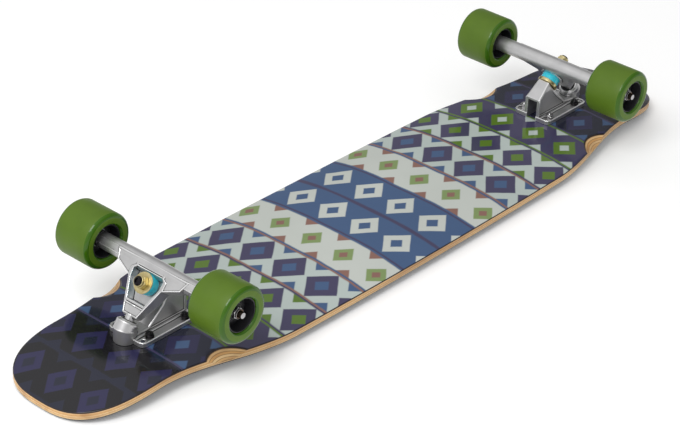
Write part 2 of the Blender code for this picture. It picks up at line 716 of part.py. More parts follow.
def make_baseplate_mesh():
    """The cast baseplate: winged flange, hollow tower with its seat, and pivot housing."""
    flange = plate("flange", rounded_rectangle(-FLANGE_INBOARD, FLANGE_OUTBOARD, FLANGE_HALF_WIDTH,
                                               FLANGE_CORNER), BASE_Z, RIM_TOP)
    pivot_x, pivot_z = kingpin_point(PIVOT_REACH, PIVOT_HEIGHT)
    boss_rows = [(0.0, BASE_Z), (HOUSING_BOSS_RADIUS, BASE_Z), (HOUSING_BOSS_RADIUS, pivot_z), (0.0, pivot_z)]
    boss = moved(turned("boss", boss_rows, HOUSING_SEGMENTS), shift(pivot_x, 0.0, 0.0))
    rough_mouth = HOUSING_MOUTH - HOUSING_STEP
    barrel_rows = [(0.0, rough_mouth), (HOUSING_RADIUS - HOUSING_STEP - HOUSING_CHAMFER, rough_mouth)]
    barrel_rows.append((HOUSING_RADIUS, HOUSING_MOUTH + HOUSING_CHAMFER))
    barrel_rows += arc_rows(0.0, PIVOT_REACH, HOUSING_RADIUS, 0.0, math.pi / 2.0, 5)[:-1]
    barrel_rows.append((0.0, PIVOT_REACH + HOUSING_RADIUS))
    along_pivot = kingpin_frame() @ shift(0.0, 0.0, PIVOT_HEIGHT) @ Matrix.Rotation(math.pi / 2.0, 4, "Y")
    barrel = moved(turned("barrel", barrel_rows, HOUSING_SEGMENTS), along_pivot)
    body = combined(flange, [tower_block(), boss, barrel], "UNION")

    far = 2.0 * AXLE_HEIGHT
    clear = HOUSING_RADIUS + 2.0 * HOUSING_STEP
    bore_rows = [(0.0, HOUSING_MOUTH - far), (clear, HOUSING_MOUTH - far), (clear, HOUSING_MOUTH)]
    bore_rows.append((HOUSING_BORE, HOUSING_MOUTH))
    bore_rows += arc_rows(0.0, PIVOT_REACH, HOUSING_BORE, 0.0, math.pi / 2.0, 4)[:-1]
    bore_rows.append((0.0, PIVOT_REACH + HOUSING_BORE))
    bore = moved(turned("pivot_bore", bore_rows, ROUND_SEGMENTS), along_pivot)
    hollow = side_profile("hollow", hollow_outline(), TOWER_HALF_WIDTH - TOWER_SIDE_WALL)
    shaft_rows = [(0.0, SEAT_ALONG - 2.0 * TOWER_SEAT_WALL), (KINGPIN_BORE, SEAT_ALONG - 2.0 * TOWER_SEAT_WALL)]
    shaft_rows += [(KINGPIN_BORE, 0.0), (0.0, 0.0)]
    shaft = moved(turned("kingpin_bore", shaft_rows, ROUND_SEGMENTS), kingpin_frame())
    cutters = [bore, hollow, shaft]
    for side in (1.0, -1.0):
        panel = side_profile("panel", panel_outline(), SIDE_PANEL_DEPTH)
        cutters.append(moved(panel, shift(0.0, side * TOWER_HALF_WIDTH, 0.0)))
        inner = HOLE_SPACING_WIDE / 2.0 - BOLT_NUT_HALF_FLATS - 2.0 * BOLT_CLEARANCE
        outer = FLANGE_HALF_WIDTH - FLANGE_RIM_WIDTH
        low_x = -FLANGE_INBOARD + FLANGE_RIM_WIDTH
        high_x = FLANGE_OUTBOARD - FLANGE_RIM_WIDTH
        ease = FLANGE_CORNER - FLANGE_RIM_WIDTH
        channel = [(low_x, inner), (high_x, inner), (high_x, outer - ease), (high_x - ease, outer)]
        channel += [(low_x + ease, outer), (low_x, outer - ease)]
        cutters.append(plate("channel", [(x, side * y) for x, y in channel], FLANGE_TOP, RIM_TOP + far))
        old_x = HOLES_OUTBOARD - HOLE_SPACING_LONG / 2.0 + HOLE_SPACING_OLD
        for x in (HOLES_OUTBOARD - HOLE_SPACING_LONG / 2.0, HOLES_OUTBOARD + HOLE_SPACING_LONG / 2.0, old_x):
            radius = BOLT_RADIUS + BOLT_CLEARANCE
            hole_rows = [(0.0, BASE_Z - FLANGE_THICKNESS), (radius, BASE_Z - FLANGE_THICKNESS)]
            hole_rows += [(radius, RIM_TOP + far), (0.0, RIM_TOP + far)]
            hole = turned("flange_hole", hole_rows, NUT_SEGMENTS)
            cutters.append(moved(hole, shift(x, side * HOLE_SPACING_WIDE / 2.0, 0.0)))
    return tidied(combined(body, cutters, "DIFFERENCE"), "baseplate")


def make_hanger_mesh():
    """The cast hanger in the kingpin frame: tube, yoke with its window, bushing ring and pivot nose."""
    half = HANGER_WIDTH / 2.0
    bore = AXLE_RADIUS + SEAT_GAP
    tube_rows = [(bore, -half), (TUBE_SHOULDER_RADIUS, -half)]
    tube_rows += [(TUBE_SHOULDER_RADIUS, -half + TUBE_SHOULDER_LENGTH), (TUBE_RADIUS, -half + TUBE_SHOULDER_LENGTH)]
    tube_rows += [(TUBE_RADIUS, -TUBE_TAPER_HALF_LENGTH), (TUBE_MIDDLE_RADIUS, 0.0)]
    tube_rows += [(TUBE_RADIUS, TUBE_TAPER_HALF_LENGTH)]
    tube_rows += [(TUBE_RADIUS, half - TUBE_SHOULDER_LENGTH), (TUBE_SHOULDER_RADIUS, half - TUBE_SHOULDER_LENGTH)]
    tube_rows += [(TUBE_SHOULDER_RADIUS, half), (bore, half)]
    solid_rows = [(0.0, -half)] + tube_rows[1:-1] + [(0.0, half)]
    to_axle = shift(AXLE_ACROSS, 0.0, AXLE_ALONG) @ Matrix.Rotation(-math.pi / 2.0, 4, "X")
    tube = moved(turned("tube", solid_rows, TUBE_SEGMENTS), to_axle)
    drill_rows = [(0.0, -2.0 * half), (bore, -2.0 * half), (bore, 2.0 * half), (0.0, 2.0 * half)]
    drill = moved(turned("axle_bore", drill_rows, ROUND_SEGMENTS), to_axle)

    tube_back = AXLE_ACROSS - YOKE_BACK
    tube_edge = AXLE_ACROSS + TUBE_RADIUS
    crest = AXLE_ACROSS - YOKE_CREST
    neck = YOKE_LENGTH - 0.6 * YOKE_BAR
    waist = (0.0, YOKE_WAIST_HALF_WIDTH)
    arm_end = (crest, YOKE_ARM_HALF_WIDTH)
    arm_root = (tube_edge, YOKE_ARM_HALF_WIDTH - 2.0 * YOKE_BAR)
    plan = [(tube_back, YOKE_ARM_HALF_WIDTH), arm_end, arm_root, waist, (neck, YOKE_END_HALF_WIDTH)]
    plan += [(YOKE_LENGTH, YOKE_END_HALF_WIDTH - 0.6 * YOKE_BAR)]
    top_slab = plate("yoke_plan", mirrored(plan), AXLE_ALONG - 2.0 * TUBE_RADIUS, YOKE_TOP)
    nose_low = PIVOT_HEIGHT - PIVOT_NECK_RADIUS - 0.5 * YOKE_BAR
    under = -RING_WEB / 2.0
    section = [(tube_back, AXLE_ALONG), (crest, YOKE_TOP), (neck, YOKE_TOP)]
    section.append((YOKE_LENGTH, YOKE_TOP - YOKE_BAR * 0.6))
    section += [(YOKE_LENGTH, nose_low + YOKE_BAR * 0.4), (neck, nose_low), (BUSHING_RADIUS, under)]
    section += [(tube_edge, under), (AXLE_ACROSS, AXLE_ALONG - TUBE_RADIUS * 0.8)]
    yoke = combined(top_slab, [side_profile("yoke_side", section, 2.0 * YOKE_ARM_HALF_WIDTH)], "INTERSECT")

    collar_radius = BUSHING_RADIUS + SEAT_GAP + RING_COLLAR_WALL
    collar_foot = under - RING_COLLAR_DEPTH
    collar = turned("collar", [(0.0, collar_foot), (collar_radius, collar_foot), (collar_radius, RING_WEB / 2.0),
                               (0.0, RING_WEB / 2.0)], HOUSING_SEGMENTS)
    nose_rows = [(0.0, WINDOW_END + YOKE_BAR), (PIVOT_NECK_RADIUS, WINDOW_END + YOKE_BAR)]
    neck_angle = -math.acos(PIVOT_NECK_RADIUS / PIVOT_BALL_RADIUS)
    nose_rows += arc_rows(0.0, PIVOT_REACH, PIVOT_BALL_RADIUS, neck_angle, math.pi / 2.0, 4)[:-1]
    nose_rows.append((0.0, PIVOT_REACH + PIVOT_BALL_RADIUS))
    to_pivot = shift(0.0, 0.0, PIVOT_HEIGHT) @ Matrix.Rotation(math.pi / 2.0, 4, "Y")
    nose = moved(turned("nose", nose_rows, ROUND_SEGMENTS), to_pivot)
    body = combined(tube, [yoke, collar, nose], "UNION")

    high = YOKE_TOP + YOKE_BAR
    slope = (YOKE_WAIST_HALF_WIDTH - YOKE_END_HALF_WIDTH) / neck

    def wall_line(across):
        return YOKE_WAIST_HALF_WIDTH - slope * across - YOKE_WALL

    shoulder = YOKE_WALL - WINDOW_START
    window = [(-WINDOW_START, wall_line(0.0) - YOKE_WALL * 0.7), (shoulder, wall_line(0.0) + 0.3 * YOKE_WALL)]
    window += [(0.0, wall_line(0.0)), (WINDOW_END, wall_line(WINDOW_END))]
    window_cut = plate("window", mirrored(window), RING_WEB / 2.0, high)
    seat = BUSHING_RADIUS + SEAT_GAP
    pocket = turned("seat", [(0.0, collar_foot - YOKE_BAR), (seat, collar_foot - YOKE_BAR),
                             (seat, under), (0.0, under)], HOUSING_SEGMENTS)
    hole = turned("ring_hole", [(0.0, collar_foot - YOKE_BAR), (RING_HOLE_RADIUS, collar_foot - YOKE_BAR),
                                (RING_HOLE_RADIUS, high), (0.0, high)], ROUND_SEGMENTS)
    cutters = [window_cut, pocket, hole, drill]
    panel_z = YOKE_TOP - YOKE_PANEL_DEPTH
    beam = -WINDOW_START - 2.0 * YOKE_GROOVE
    slot = WINDOW_END + 2.0 * YOKE_GROOVE
    slot_half = wall_line(slot) + YOKE_WALL - 2.0 * YOKE_RIB
    grooves = [(beam, BEAM_SPLIT_HALF_WIDTH - YOKE_RIB), (beam - 2.0 * YOKE_GROOVE, BEAM_SPLIT_HALF_WIDTH)]
    grooves.append((slot, slot_half))
    for start, half_length in grooves:
        groove = mirrored([(start, half_length), (start + YOKE_GROOVE, half_length)])
        cutters.append(plate("groove", groove, panel_z, high))
    neck_start = slot + YOKE_GROOVE
    end_panel = mirrored([(neck_start, wall_line(neck_start) + YOKE_WALL), (neck, YOKE_END_HALF_WIDTH)])
    cutters.append(plate("neck_panel", inset(end_panel, YOKE_RIB), panel_z, high))
    arm = [arm_end, (crest, BEAM_SPLIT_HALF_WIDTH + YOKE_BAR), (crest + YOKE_BAR, BEAM_SPLIT_HALF_WIDTH)]
    arm += [(-WINDOW_START, BEAM_SPLIT_HALF_WIDTH), (shoulder, wall_line(0.0) + YOKE_WALL), waist, arm_root]
    arm_panel = inset(arm, YOKE_RIB)
    for side in (1.0, -1.0):
        cutters.append(plate("arm_panel", [(x, side * y) for x, y in arm_panel], panel_z, high))
    return tidied(combined(body, cutters, "DIFFERENCE"), "hanger")


def make_truck_hardware():
    """Meshes of the turned pieces on a truck's kingpin and pivot, in the kingpin frame."""
    made = {}
    head_foot = HEAD_TOP - KINGPIN_HEAD_HEIGHT
    tip = KINGPIN_RADIUS * 0.8
    made["kingpin"] = turned("kingpin", [
        (0.0, head_foot), (KINGPIN_HEAD_HALF_FLATS, head_foot, 6), (KINGPIN_HEAD_HALF_FLATS, HEAD_TOP, 6),
        (KINGPIN_RADIUS, HEAD_TOP), (KINGPIN_RADIUS, KINGPIN_END - KINGPIN_PROUD * 0.5), (tip, KINGPIN_END),
        (tip * 0.7, KINGPIN_END), (tip * 0.6, KINGPIN_END - KINGPIN_PROUD), (0.0, KINGPIN_END - KINGPIN_PROUD),
    ], NUT_SEGMENTS)
    nut_top = KINGPIN_NUT_FOOT + KINGPIN_NUT_HEIGHT
    collar_radius = KINGPIN_NUT_HALF_FLATS * 0.86
    made["kingpin_nut"] = turned("kingpin_nut", [
        (KINGPIN_BORE, KINGPIN_NUT_FOOT), (KINGPIN_NUT_HALF_FLATS, KINGPIN_NUT_FOOT, 6),
        (KINGPIN_NUT_HALF_FLATS, nut_top - KINGPIN_NUT_COLLAR, 6), (collar_radius, nut_top - KINGPIN_NUT_COLLAR),
        (collar_radius, nut_top), (KINGPIN_BORE, nut_top),
    ], NUT_SEGMENTS)
    washer_top = ROADSIDE_WASHER_FOOT + WASHER_THICKNESS
    made["roadside_washer"] = turned("roadside_washer", [
        (KINGPIN_BORE, ROADSIDE_WASHER_FOOT), (ROADSIDE_WASHER_RADIUS, ROADSIDE_WASHER_FOOT),
        (ROADSIDE_WASHER_RADIUS, washer_top), (KINGPIN_BORE, washer_top),
    ], ROUND_SEGMENTS)
    cup_inner = BUSHING_RADIUS + SEAT_GAP
    cup_outer = cup_inner + CUP_WALL
    lip = CUP_TOP + CUP_LIP_HEIGHT
    made["boardside_washer"] = turned("boardside_washer", [
        (KINGPIN_BORE, CUP_FOOT), (cup_outer - CUP_WALL * 0.7, CUP_FOOT), (cup_outer, CUP_FOOT + CUP_WALL * 0.7),
        (cup_outer, lip), (cup_inner, lip), (cup_inner, CUP_TOP), (KINGPIN_BORE, CUP_TOP),
    ], HOUSING_SEGMENTS)
    for name, foot in (("boardside_bushing", BOARDSIDE_BUSHING_FOOT), ("roadside_bushing", ROADSIDE_BUSHING_FOOT)):
        top = foot + BUSHING_HEIGHT
        made[name] = turned(name, [
            (KINGPIN_BORE, foot), (BUSHING_RADIUS - BUSHING_EDGE, foot), (BUSHING_RADIUS, foot + BUSHING_EDGE),
            (BUSHING_RADIUS, top - BUSHING_EDGE), (BUSHING_RADIUS - BUSHING_EDGE, top), (KINGPIN_BORE, top),
        ], HOUSING_SEGMENTS)
    lip_top = HOUSING_MOUTH - SEAT_GAP
    lip_foot = lip_top - PIVOT_LIP_THICKNESS
    mouth = PIVOT_BALL_BORE + PIVOT_CUP_WALL * 0.4
    outer = arc_rows(0.0, PIVOT_REACH, PIVOT_CUP_RADIUS, 0.0, math.pi / 2.0, 3)[:-1]
    inner = arc_rows(0.0, PIVOT_REACH, PIVOT_BALL_BORE, 0.0, math.pi / 2.0, 3)[:-1]
    rows = [(0.0, PIVOT_REACH + PIVOT_BALL_BORE)] + list(reversed(inner))
    rows += [(mouth, lip_foot), (PIVOT_CUP_RADIUS + PIVOT_LIP_WIDTH, lip_foot)]
    rows += [(PIVOT_CUP_RADIUS + PIVOT_LIP_WIDTH, lip_top), (PIVOT_CUP_RADIUS, lip_top)]
    rows += outer + [(0.0, PIVOT_REACH + PIVOT_CUP_RADIUS)]
    to_pivot = shift(0.0, 0.0, PIVOT_HEIGHT) @ Matrix.Rotation(math.pi / 2.0, 4, "Y")
    made["pivot_cup"] = moved(turned("pivot_cup", rows, ROUND_SEGMENTS), to_pivot)
    return made


def make_wheel_meshes():
    """Meshes of one wheel and of one bearing, turned about Z with the middle of each at its origin."""
    made = {}
    half = WHEEL_WIDTH / 2.0
    lip = arc_rows(WHEEL_RADIUS - WHEEL_LIP_RADIUS, half - WHEEL_LIP_RADIUS, WHEEL_LIP_RADIUS, 0.0, math.pi / 2.0, 2)
    bore = CORE_RADIUS + SEAT_GAP
    core_half = CORE_WIDTH / 2.0
    side = lip + [(WHEEL_MOUTH_RADIUS, half), (bore, core_half + SEAT_GAP)]
    tyre_rows = side + [(radius, -height) for radius, height in reversed(side)]
    made["tyre"] = turned("tyre", tyre_rows, TYRE_SEGMENTS)

    seat = BEARING_RADIUS + SEAT_GAP
    shelf = BEARING_SPACING / 2.0 - SEAT_GAP
    collar_top = BEARING_SPACING / 2.0 + BEARING_WIDTH
    collar = seat + CORE_COLLAR
    groove = collar_top - CORE_GROOVE_DEPTH
    rim = CORE_RADIUS - CORE_RIM
    side = [(CORE_RADIUS, core_half), (rim, core_half), (rim - CORE_RIM_DRAFT, groove)]
    side += [(collar + CORE_COLLAR * 0.2, groove), (collar, collar_top), (seat, collar_top)]
    side += [(seat, shelf), (seat - CORE_SHOULDER, shelf)]
    core_rows = side + [(radius, -height) for radius, height in reversed(side)]
    made["core"] = turned("core", core_rows, CORE_SEGMENTS)

    reach = BEARING_WIDTH / 2.0
    shield = INNER_RACE_RADIUS + RUNNING_GAP
    raceway = BEARING_RADIUS - OUTER_RACE_WALL
    made["bearing"] = turned("bearing", [
        (BEARING_RADIUS, -reach), (BEARING_RADIUS, reach), (shield, reach), (shield, reach - SHIELD_THICKNESS),
        (raceway, reach - SHIELD_THICKNESS), (raceway, -reach),
    ], BEARING_SEGMENTS)
    inner = AXLE_RADIUS + SEAT_GAP
    made["race"] = turned("race", [
        (inner, -reach), (INNER_RACE_RADIUS, -reach), (INNER_RACE_RADIUS, reach + SPEED_WASHER),
        (inner, reach + SPEED_WASHER),
    ], RACE_SEGMENTS)
    collar_radius = AXLE_NUT_HALF_FLATS * 0.84
    shoulder = AXLE_NUT_HEIGHT * 0.7
    made["axle_nut"] = turned("axle_nut", [
        (inner, 0.0), (AXLE_NUT_HALF_FLATS, 0.0, 6), (AXLE_NUT_HALF_FLATS, shoulder, 6),
        (collar_radius, shoulder), (collar_radius, AXLE_NUT_HEIGHT), (inner, AXLE_NUT_HEIGHT),
    ], NUT_SEGMENTS)
    chamfer = AXLE_CHAMFER
    end = AXLE_HALF_LENGTH
    made["axle"] = turned("axle", [
        (0.0, -end), (AXLE_RADIUS - chamfer, -end), (AXLE_RADIUS, chamfer - end), (AXLE_RADIUS, end - chamfer),
        (AXLE_RADIUS - chamfer, end), (0.0, end),
    ], RACE_SEGMENTS)
    return made


def place_truck(end, matrix, meshes, finishes):
    """The baseplate, its bolts, the kingpin stack and the hanger with its axle."""
    truck = empty(end + "_truck", matrix)
    flats_outward = Matrix.Rotation(math.pi / 2.0, 4, "Z")
    place(end + "_baseplate", meshes["baseplate"].copy(), finishes["cast"], truck)
    for spot, x, y in bolt_places():
        side = "left" if (y > 0.0) == (end == "front") else "right"
        name = end + "_bolt_" + spot[:-2] + "_" + side
        finish = finishes["zinc"] if name.startswith("front_bolt_inboard") else finishes["black_steel"]
        place(name, meshes["bolt"].copy(), finish, truck, shift(x, y, 0.0) @ flats_outward)
    frame = kingpin_frame()
    stack = (("kingpin", "black_steel"), ("kingpin_nut", "brass"), ("roadside_washer", "brass"),
             ("boardside_washer", "brass"), ("roadside_bushing", "bushing"), ("boardside_bushing", "bushing"),
             ("pivot_cup", "pivot"))
    for name, finish in stack:
        turn = flats_outward if name == "kingpin" else Matrix.Identity(4)
        place(end + "_" + name, meshes[name].copy(), finishes[finish], truck, frame @ turn)
    steering = empty(end + "_steering", frame, truck)
    place(end + "_hanger", meshes["hanger"].copy(), finishes["cast"], steering)
    upright = shift(AXLE_ACROSS, 0.0, AXLE_ALONG) @ Matrix.Rotation(-KINGPIN_TILT, 4, "Y")
    axle_line = empty(end + "_axle_line", upright, steering)
    along_y = Matrix.Rotation(-math.pi / 2.0, 4, "X")
    place(end + "_axle", meshes["axle"].copy(), finishes["zinc"], axle_line, along_y)
    for side in (1.0, -1.0):
        place_wheel(end, side, axle_line, meshes, finishes)


def place_wheel(end, side, axle_line, meshes, finishes):
    """One wheel with its core, bearings and nut; its own empty spins it about the axle."""
    hand = "left" if (side > 0.0) == (end == "front") else "right"
    name = end + "_" + hand
    outward = Matrix.Rotation(-side * math.pi / 2.0, 4, "X")
    hub = empty(name + "_wheel", shift(0.0, side * WHEEL_CENTRE, 0.0), axle_line)
    place(name + "_tyre", meshes["tyre"].copy(), finishes["urethane"], hub, outward)
    place(name + "_core", meshes["core"].copy(), finishes["core"], hub, outward)
    step = (BEARING_SPACING + BEARING_WIDTH) / 2.0
    for spot, offset in (("inboard", -step), ("outboard", step)):
        flip = Matrix.Rotation(math.pi, 4, "X") if spot == "inboard" else Matrix.Identity(4)
        bearing = shift(0.0, side * offset, 0.0) @ outward @ flip
        place(name + "_" + spot + "_bearing", meshes["bearing"].copy(), finishes["zinc"], hub, bearing)
        race = shift(0.0, side * (WHEEL_CENTRE + offset), 0.0) @ outward @ flip
        place(name + "_" + spot + "_race", meshes["race"].copy(), finishes["zinc"], axle_line, race)
    nut = shift(0.0, side * AXLE_NUT_FOOT, 0.0) @ outward
    place(name + "_axle_nut", meshes["axle_nut"].copy(), finishes["zinc"], axle_line, nut)


def main():
    """Build the whole board."""
    clear_scene()
    finishes = {
        "wood": make_material("printed_maple", (0.62, 0.60, 0.55), 0.25),
        "grip": make_material("grip", (0.02, 0.02, 0.022), 0.95),
        "cast": make_material("cast_aluminium", (0.62, 0.63, 0.65), 0.38, 1.0),
        "brass": make_material("pale_gold_zinc", (0.78, 0.66, 0.38), 0.30, 1.0),
        "black_steel": make_material("black_steel", (0.03, 0.03, 0.035), 0.40, 1.0),
        "zinc": make_material("bright_zinc", (0.70, 0.70, 0.72), 0.25, 1.0),
        "bushing": make_material("cyan_urethane", (0.05, 0.45, 0.55), 0.35),
        "pivot": make_material("black_urethane", (0.02, 0.02, 0.02), 0.55),
        "urethane": make_material("green_urethane", (0.20, 0.35, 0.05), 0.45),
        "core": make_material("black_nylon", (0.02, 0.02, 0.025), 0.45),
    }
    make_deck(finishes["wood"])
    make_grip(finishes["grip"])
    meshes = make_truck_hardware()
    meshes.update(make_wheel_meshes())
    meshes["bolt"] = bolt_shape("bolt", 0.0)
    meshes["baseplate"] = make_baseplate_mesh()
    meshes["hanger"] = make_hanger_mesh()
    for end, matrix, _ in truck_places():
        place_truck(end, matrix, meshes, finishes)


main()
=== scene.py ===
"""Looks of the longboard: fine surfaces, finishes, floor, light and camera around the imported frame.

Metres, +Z up, +X toward the nose. The rear truck is the front one turned half a turn about the
board's middle, so each truck piece is made once, around the front truck, and placed twice.
"""
import json
import math

import bmesh
import bpy
import numpy as np
from mathutils import Matrix
from mathutils import Vector


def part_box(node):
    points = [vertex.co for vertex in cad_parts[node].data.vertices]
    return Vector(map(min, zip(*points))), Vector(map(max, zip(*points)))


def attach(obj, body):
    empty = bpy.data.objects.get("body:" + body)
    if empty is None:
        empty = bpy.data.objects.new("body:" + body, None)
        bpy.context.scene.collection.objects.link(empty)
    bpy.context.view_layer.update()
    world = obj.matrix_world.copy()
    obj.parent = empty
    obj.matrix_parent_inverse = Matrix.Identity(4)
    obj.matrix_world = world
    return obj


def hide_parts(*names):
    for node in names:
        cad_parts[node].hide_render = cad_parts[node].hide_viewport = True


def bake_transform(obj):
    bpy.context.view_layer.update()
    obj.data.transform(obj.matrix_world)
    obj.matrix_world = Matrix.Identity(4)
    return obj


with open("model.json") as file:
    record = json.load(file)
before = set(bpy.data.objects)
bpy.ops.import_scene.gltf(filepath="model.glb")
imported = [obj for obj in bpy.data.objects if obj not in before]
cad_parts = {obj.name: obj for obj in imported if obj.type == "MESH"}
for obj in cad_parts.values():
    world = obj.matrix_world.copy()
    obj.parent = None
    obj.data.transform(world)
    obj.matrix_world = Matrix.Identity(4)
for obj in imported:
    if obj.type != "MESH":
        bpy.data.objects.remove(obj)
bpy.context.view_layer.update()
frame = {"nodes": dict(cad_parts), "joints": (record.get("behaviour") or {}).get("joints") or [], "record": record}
NODES = frame["nodes"]

# Camera at the photograph's viewing angle
IMAGE_WIDTH = 680
FOCAL_PIXELS = 2193.39
CAMERA_PLACE = Vector((-1.73657, -1.45361, 1.36695))
CAMERA_RIGHT = Vector((0.6681045, -0.7432143, 0.0356223))
CAMERA_DOWN = Vector((-0.3619913, -0.3664898, -0.8571158))
CAMERA_FORWARD = Vector((0.6500759, 0.559748, -0.5138906))
SENSOR_WIDTH = 36.0
CAMERA_NEAR = 0.05
CAMERA_FAR = 50.0

# Deck and grip, to the same sizes as their solids
DECK_HALF_WIDTH = 0.1133
PLATFORM_SWEEP = 0.0023
PLATFORM_END = 0.235
NECK_START = 0.420
NECK_HALF_WIDTH = 0.082
TIP_POWER = 2.75
DECK_HALF_LENGTH = 0.5225
DECK_THICKNESS = 0.0108
EDGE_ROUND = 0.0018
FLAT_HALF_WIDTH = 0.030
CONCAVE_DEPTH = 0.0078
CONCAVE_FADE_START = 0.300
CONCAVE_FADE_END = 0.400
CONCAVE_REMAINDER = 0.32
KICK_START = 0.405
KICK_RADIUS = 0.470
GRIP_THICKNESS = 0.0007
GRIP_INSET = 0.0022
SEAT_GAP = 0.0003
WELL_DRUM_RADIUS = 0.058
WELL_DRUM_LENGTH = 0.060
WELL_TILT = math.radians(32.0)
WELL_REACH_IN = 0.0785
WELL_INBOARD = 0.012
BOLT_RADIUS = 0.0024
BOLT_HEAD_RADIUS = 0.0046
BOLT_CLEARANCE = 0.0004
CONE_CLEARANCE = 0.4 * BOLT_CLEARANCE

KICK_DROP = (DECK_HALF_LENGTH - GRIP_INSET - KICK_START) ** 2 / (2.0 * KICK_RADIUS)
DECK_FACE_Z = KICK_DROP + DECK_THICKNESS + SEAT_GAP + GRIP_THICKNESS

# Fineness of the surfaces
SMOOTH_ANGLE = math.radians(30.0)
PLATFORM_STEPS = 20
TAPER_STEPS = 26
TIP_STEPS = 34
TIP_LAST_ANGLE = math.radians(88.5)
CONCAVE_STEPS = 12
EDGE_STEPS = 5
WELL_SEGMENTS = 240
HOLE_SEGMENTS = 48
ROUND_SEGMENTS = 96
TYRE_SEGMENTS = 144
HEX_SEGMENTS = 72

# Joints of the frame, by name
JOINTS = {joint["name"]: joint for joint in frame["joints"]}

# The castings' attribute that marks crests and hollows, and how it is read into a painted highlight on crests and
# painted shade in hollows
BEND = "bend"
BEND_SPREAD = 5
CREST_START = 0.024
CREST_GAIN = 15.0
HOLLOW_START = 0.022
HOLLOW_GAIN = 17.0


def srgb(red, green, blue):
    """A colour of 0 to 255 values as linear light."""
    shares = [value / 255.0 for value in (red, green, blue)]
    return tuple(s / 12.92 if s <= 0.04045 else ((s + 0.055) / 1.055) ** 2.4 for s in shares)


def linked(name, data):
    """An object of its data, linked into the scene."""
    made = bpy.data.objects.new(name, data)
    bpy.context.scene.collection.objects.link(made)
    return made


def make_camera():
    """The camera, looking as the photograph does."""
    data = bpy.data.cameras.new("camera")
    data.sensor_width = SENSOR_WIDTH
    data.lens = FOCAL_PIXELS / IMAGE_WIDTH * SENSOR_WIDTH
    data.clip_start = CAMERA_NEAR
    data.clip_end = CAMERA_FAR
    camera = linked("camera", data)
    turn = Matrix((CAMERA_RIGHT, -CAMERA_DOWN, -CAMERA_FORWARD)).transposed()
    camera.matrix_world = Matrix.Translation(CAMERA_PLACE) @ turn.to_4x4()
    bpy.context.scene.camera = camera


make_camera()


class Wire:
    """A value inside a material's nodes, which ordinary arithmetic extends."""

    def __init__(self, tree, socket):
        self.tree = tree
        self.socket = socket

    def through(self, operation, *others, clamp=False):
        node = self.tree.nodes.new("ShaderNodeMath")
        node.operation = operation
        node.use_clamp = clamp
        for socket, value in zip(node.inputs, (self,) + others):
            plug(socket, value)
        return Wire(self.tree, node.outputs[0])

    def __add__(self, other):
        return self.through("ADD", other)

    def __sub__(self, other):
        return self.through("SUBTRACT", other)

    def __rsub__(self, other):
        return self.through("MULTIPLY", -1.0).through("ADD", other)

    def __mul__(self, other):
        return self.through("MULTIPLY", other)

    __radd__ = __add__
    __rmul__ = __mul__

    def __truediv__(self, other):
        return self.through("DIVIDE", other)

    def __pow__(self, other):
        return self.through("POWER", other)

    def __abs__(self):
        return self.through("ABSOLUTE")

    def least(self, other):
        return self.through("MINIMUM", other)

    def most(self, other):
        return self.through("MAXIMUM", other)

    def floor(self):
        return self.through("FLOOR")

    def fraction(self):
        return self.through("FRACT")

    def held(self):
        return self.through("ADD", 0.0, clamp=True)

    def beyond(self, edge, softness):
        """0 below an edge and 1 above it, with a soft step between."""
        return ((self - edge) / softness + 0.5).held()


def plug(socket, value):
    """Put a wire, a number or a colour of three numbers into a socket."""
    if isinstance(value, Wire):
        value.tree.links.new(value.socket, socket)
    elif isinstance(value, tuple):
        socket.default_value = (*value, 1.0)
    else:
        socket.default_value = value


def new_material(name):
    """A node material, its tree and the sockets of its shader."""
    made = bpy.data.materials.new(name)
    made.use_nodes = True
    return made, made.node_tree, made.node_tree.nodes["Principled BSDF"].inputs


def coordinates(tree, kind="Object"):
    """A kind of coordinates: the vector and its three numbers."""
    where = Wire(tree, tree.nodes.new("ShaderNodeTexCoord").outputs[kind])
    split = tree.nodes.new("ShaderNodeSeparateXYZ")
    plug(split.inputs[0], where)
    return where, [Wire(tree, output) for output in split.outputs]


def noise(where, scale, detail=3.0, stretch=(1.0, 1.0, 1.0)):
    """A noise of 0 to 1 in metres, stretched along any axis."""
    mapping = where.tree.nodes.new("ShaderNodeMapping")
    mapping.inputs["Scale"].default_value = stretch
    plug(mapping.inputs["Vector"], where)
    node = where.tree.nodes.new("ShaderNodeTexNoise")
    plug(node.inputs["Scale"], scale)
    plug(node.inputs["Detail"], detail)
    plug(node.inputs["Vector"], Wire(where.tree, mapping.outputs[0]))
    return Wire(where.tree, node.outputs["Fac"])


def mixed(factor, first, second, blend="MIX"):
    """Two colours, each a wire or three numbers, mixed by a wire."""
    node = factor.tree.nodes.new("ShaderNodeMix")
    node.data_type = "RGBA"
    node.blend_type = blend
    plug(node.inputs[0], factor)
    plug(node.inputs[6], first)
    plug(node.inputs[7], second)
    return Wire(factor.tree, node.outputs[2])


def palette(index, colors):
    """The colour of an index that counts from 0."""
    ramp = index.tree.nodes.new("ShaderNodeValToRGB")
    ramp.color_ramp.interpolation = "CONSTANT"
    stops = ramp.color_ramp.elements
    while len(stops) < len(colors):
        stops.new(1.0)
    for step, color in enumerate(colors):
        stops[step].position = step / len(colors)
        stops[step].color = (*color, 1.0)
    plug(ramp.inputs[0], (index + 0.5) / len(colors))
    return Wire(index.tree, ramp.outputs[0])


def bumped(inputs, height, distance, strength=0.5):
    """Bump a shader by a wire of 0 to 1 that stands for a height in metres."""
    node = height.tree.nodes.new("ShaderNodeBump")
    plug(node.inputs["Strength"], strength)
    plug(node.inputs["Distance"], distance)
    plug(node.inputs["Height"], height)
    plug(inputs["Normal"], Wire(height.tree, node.outputs[0]))


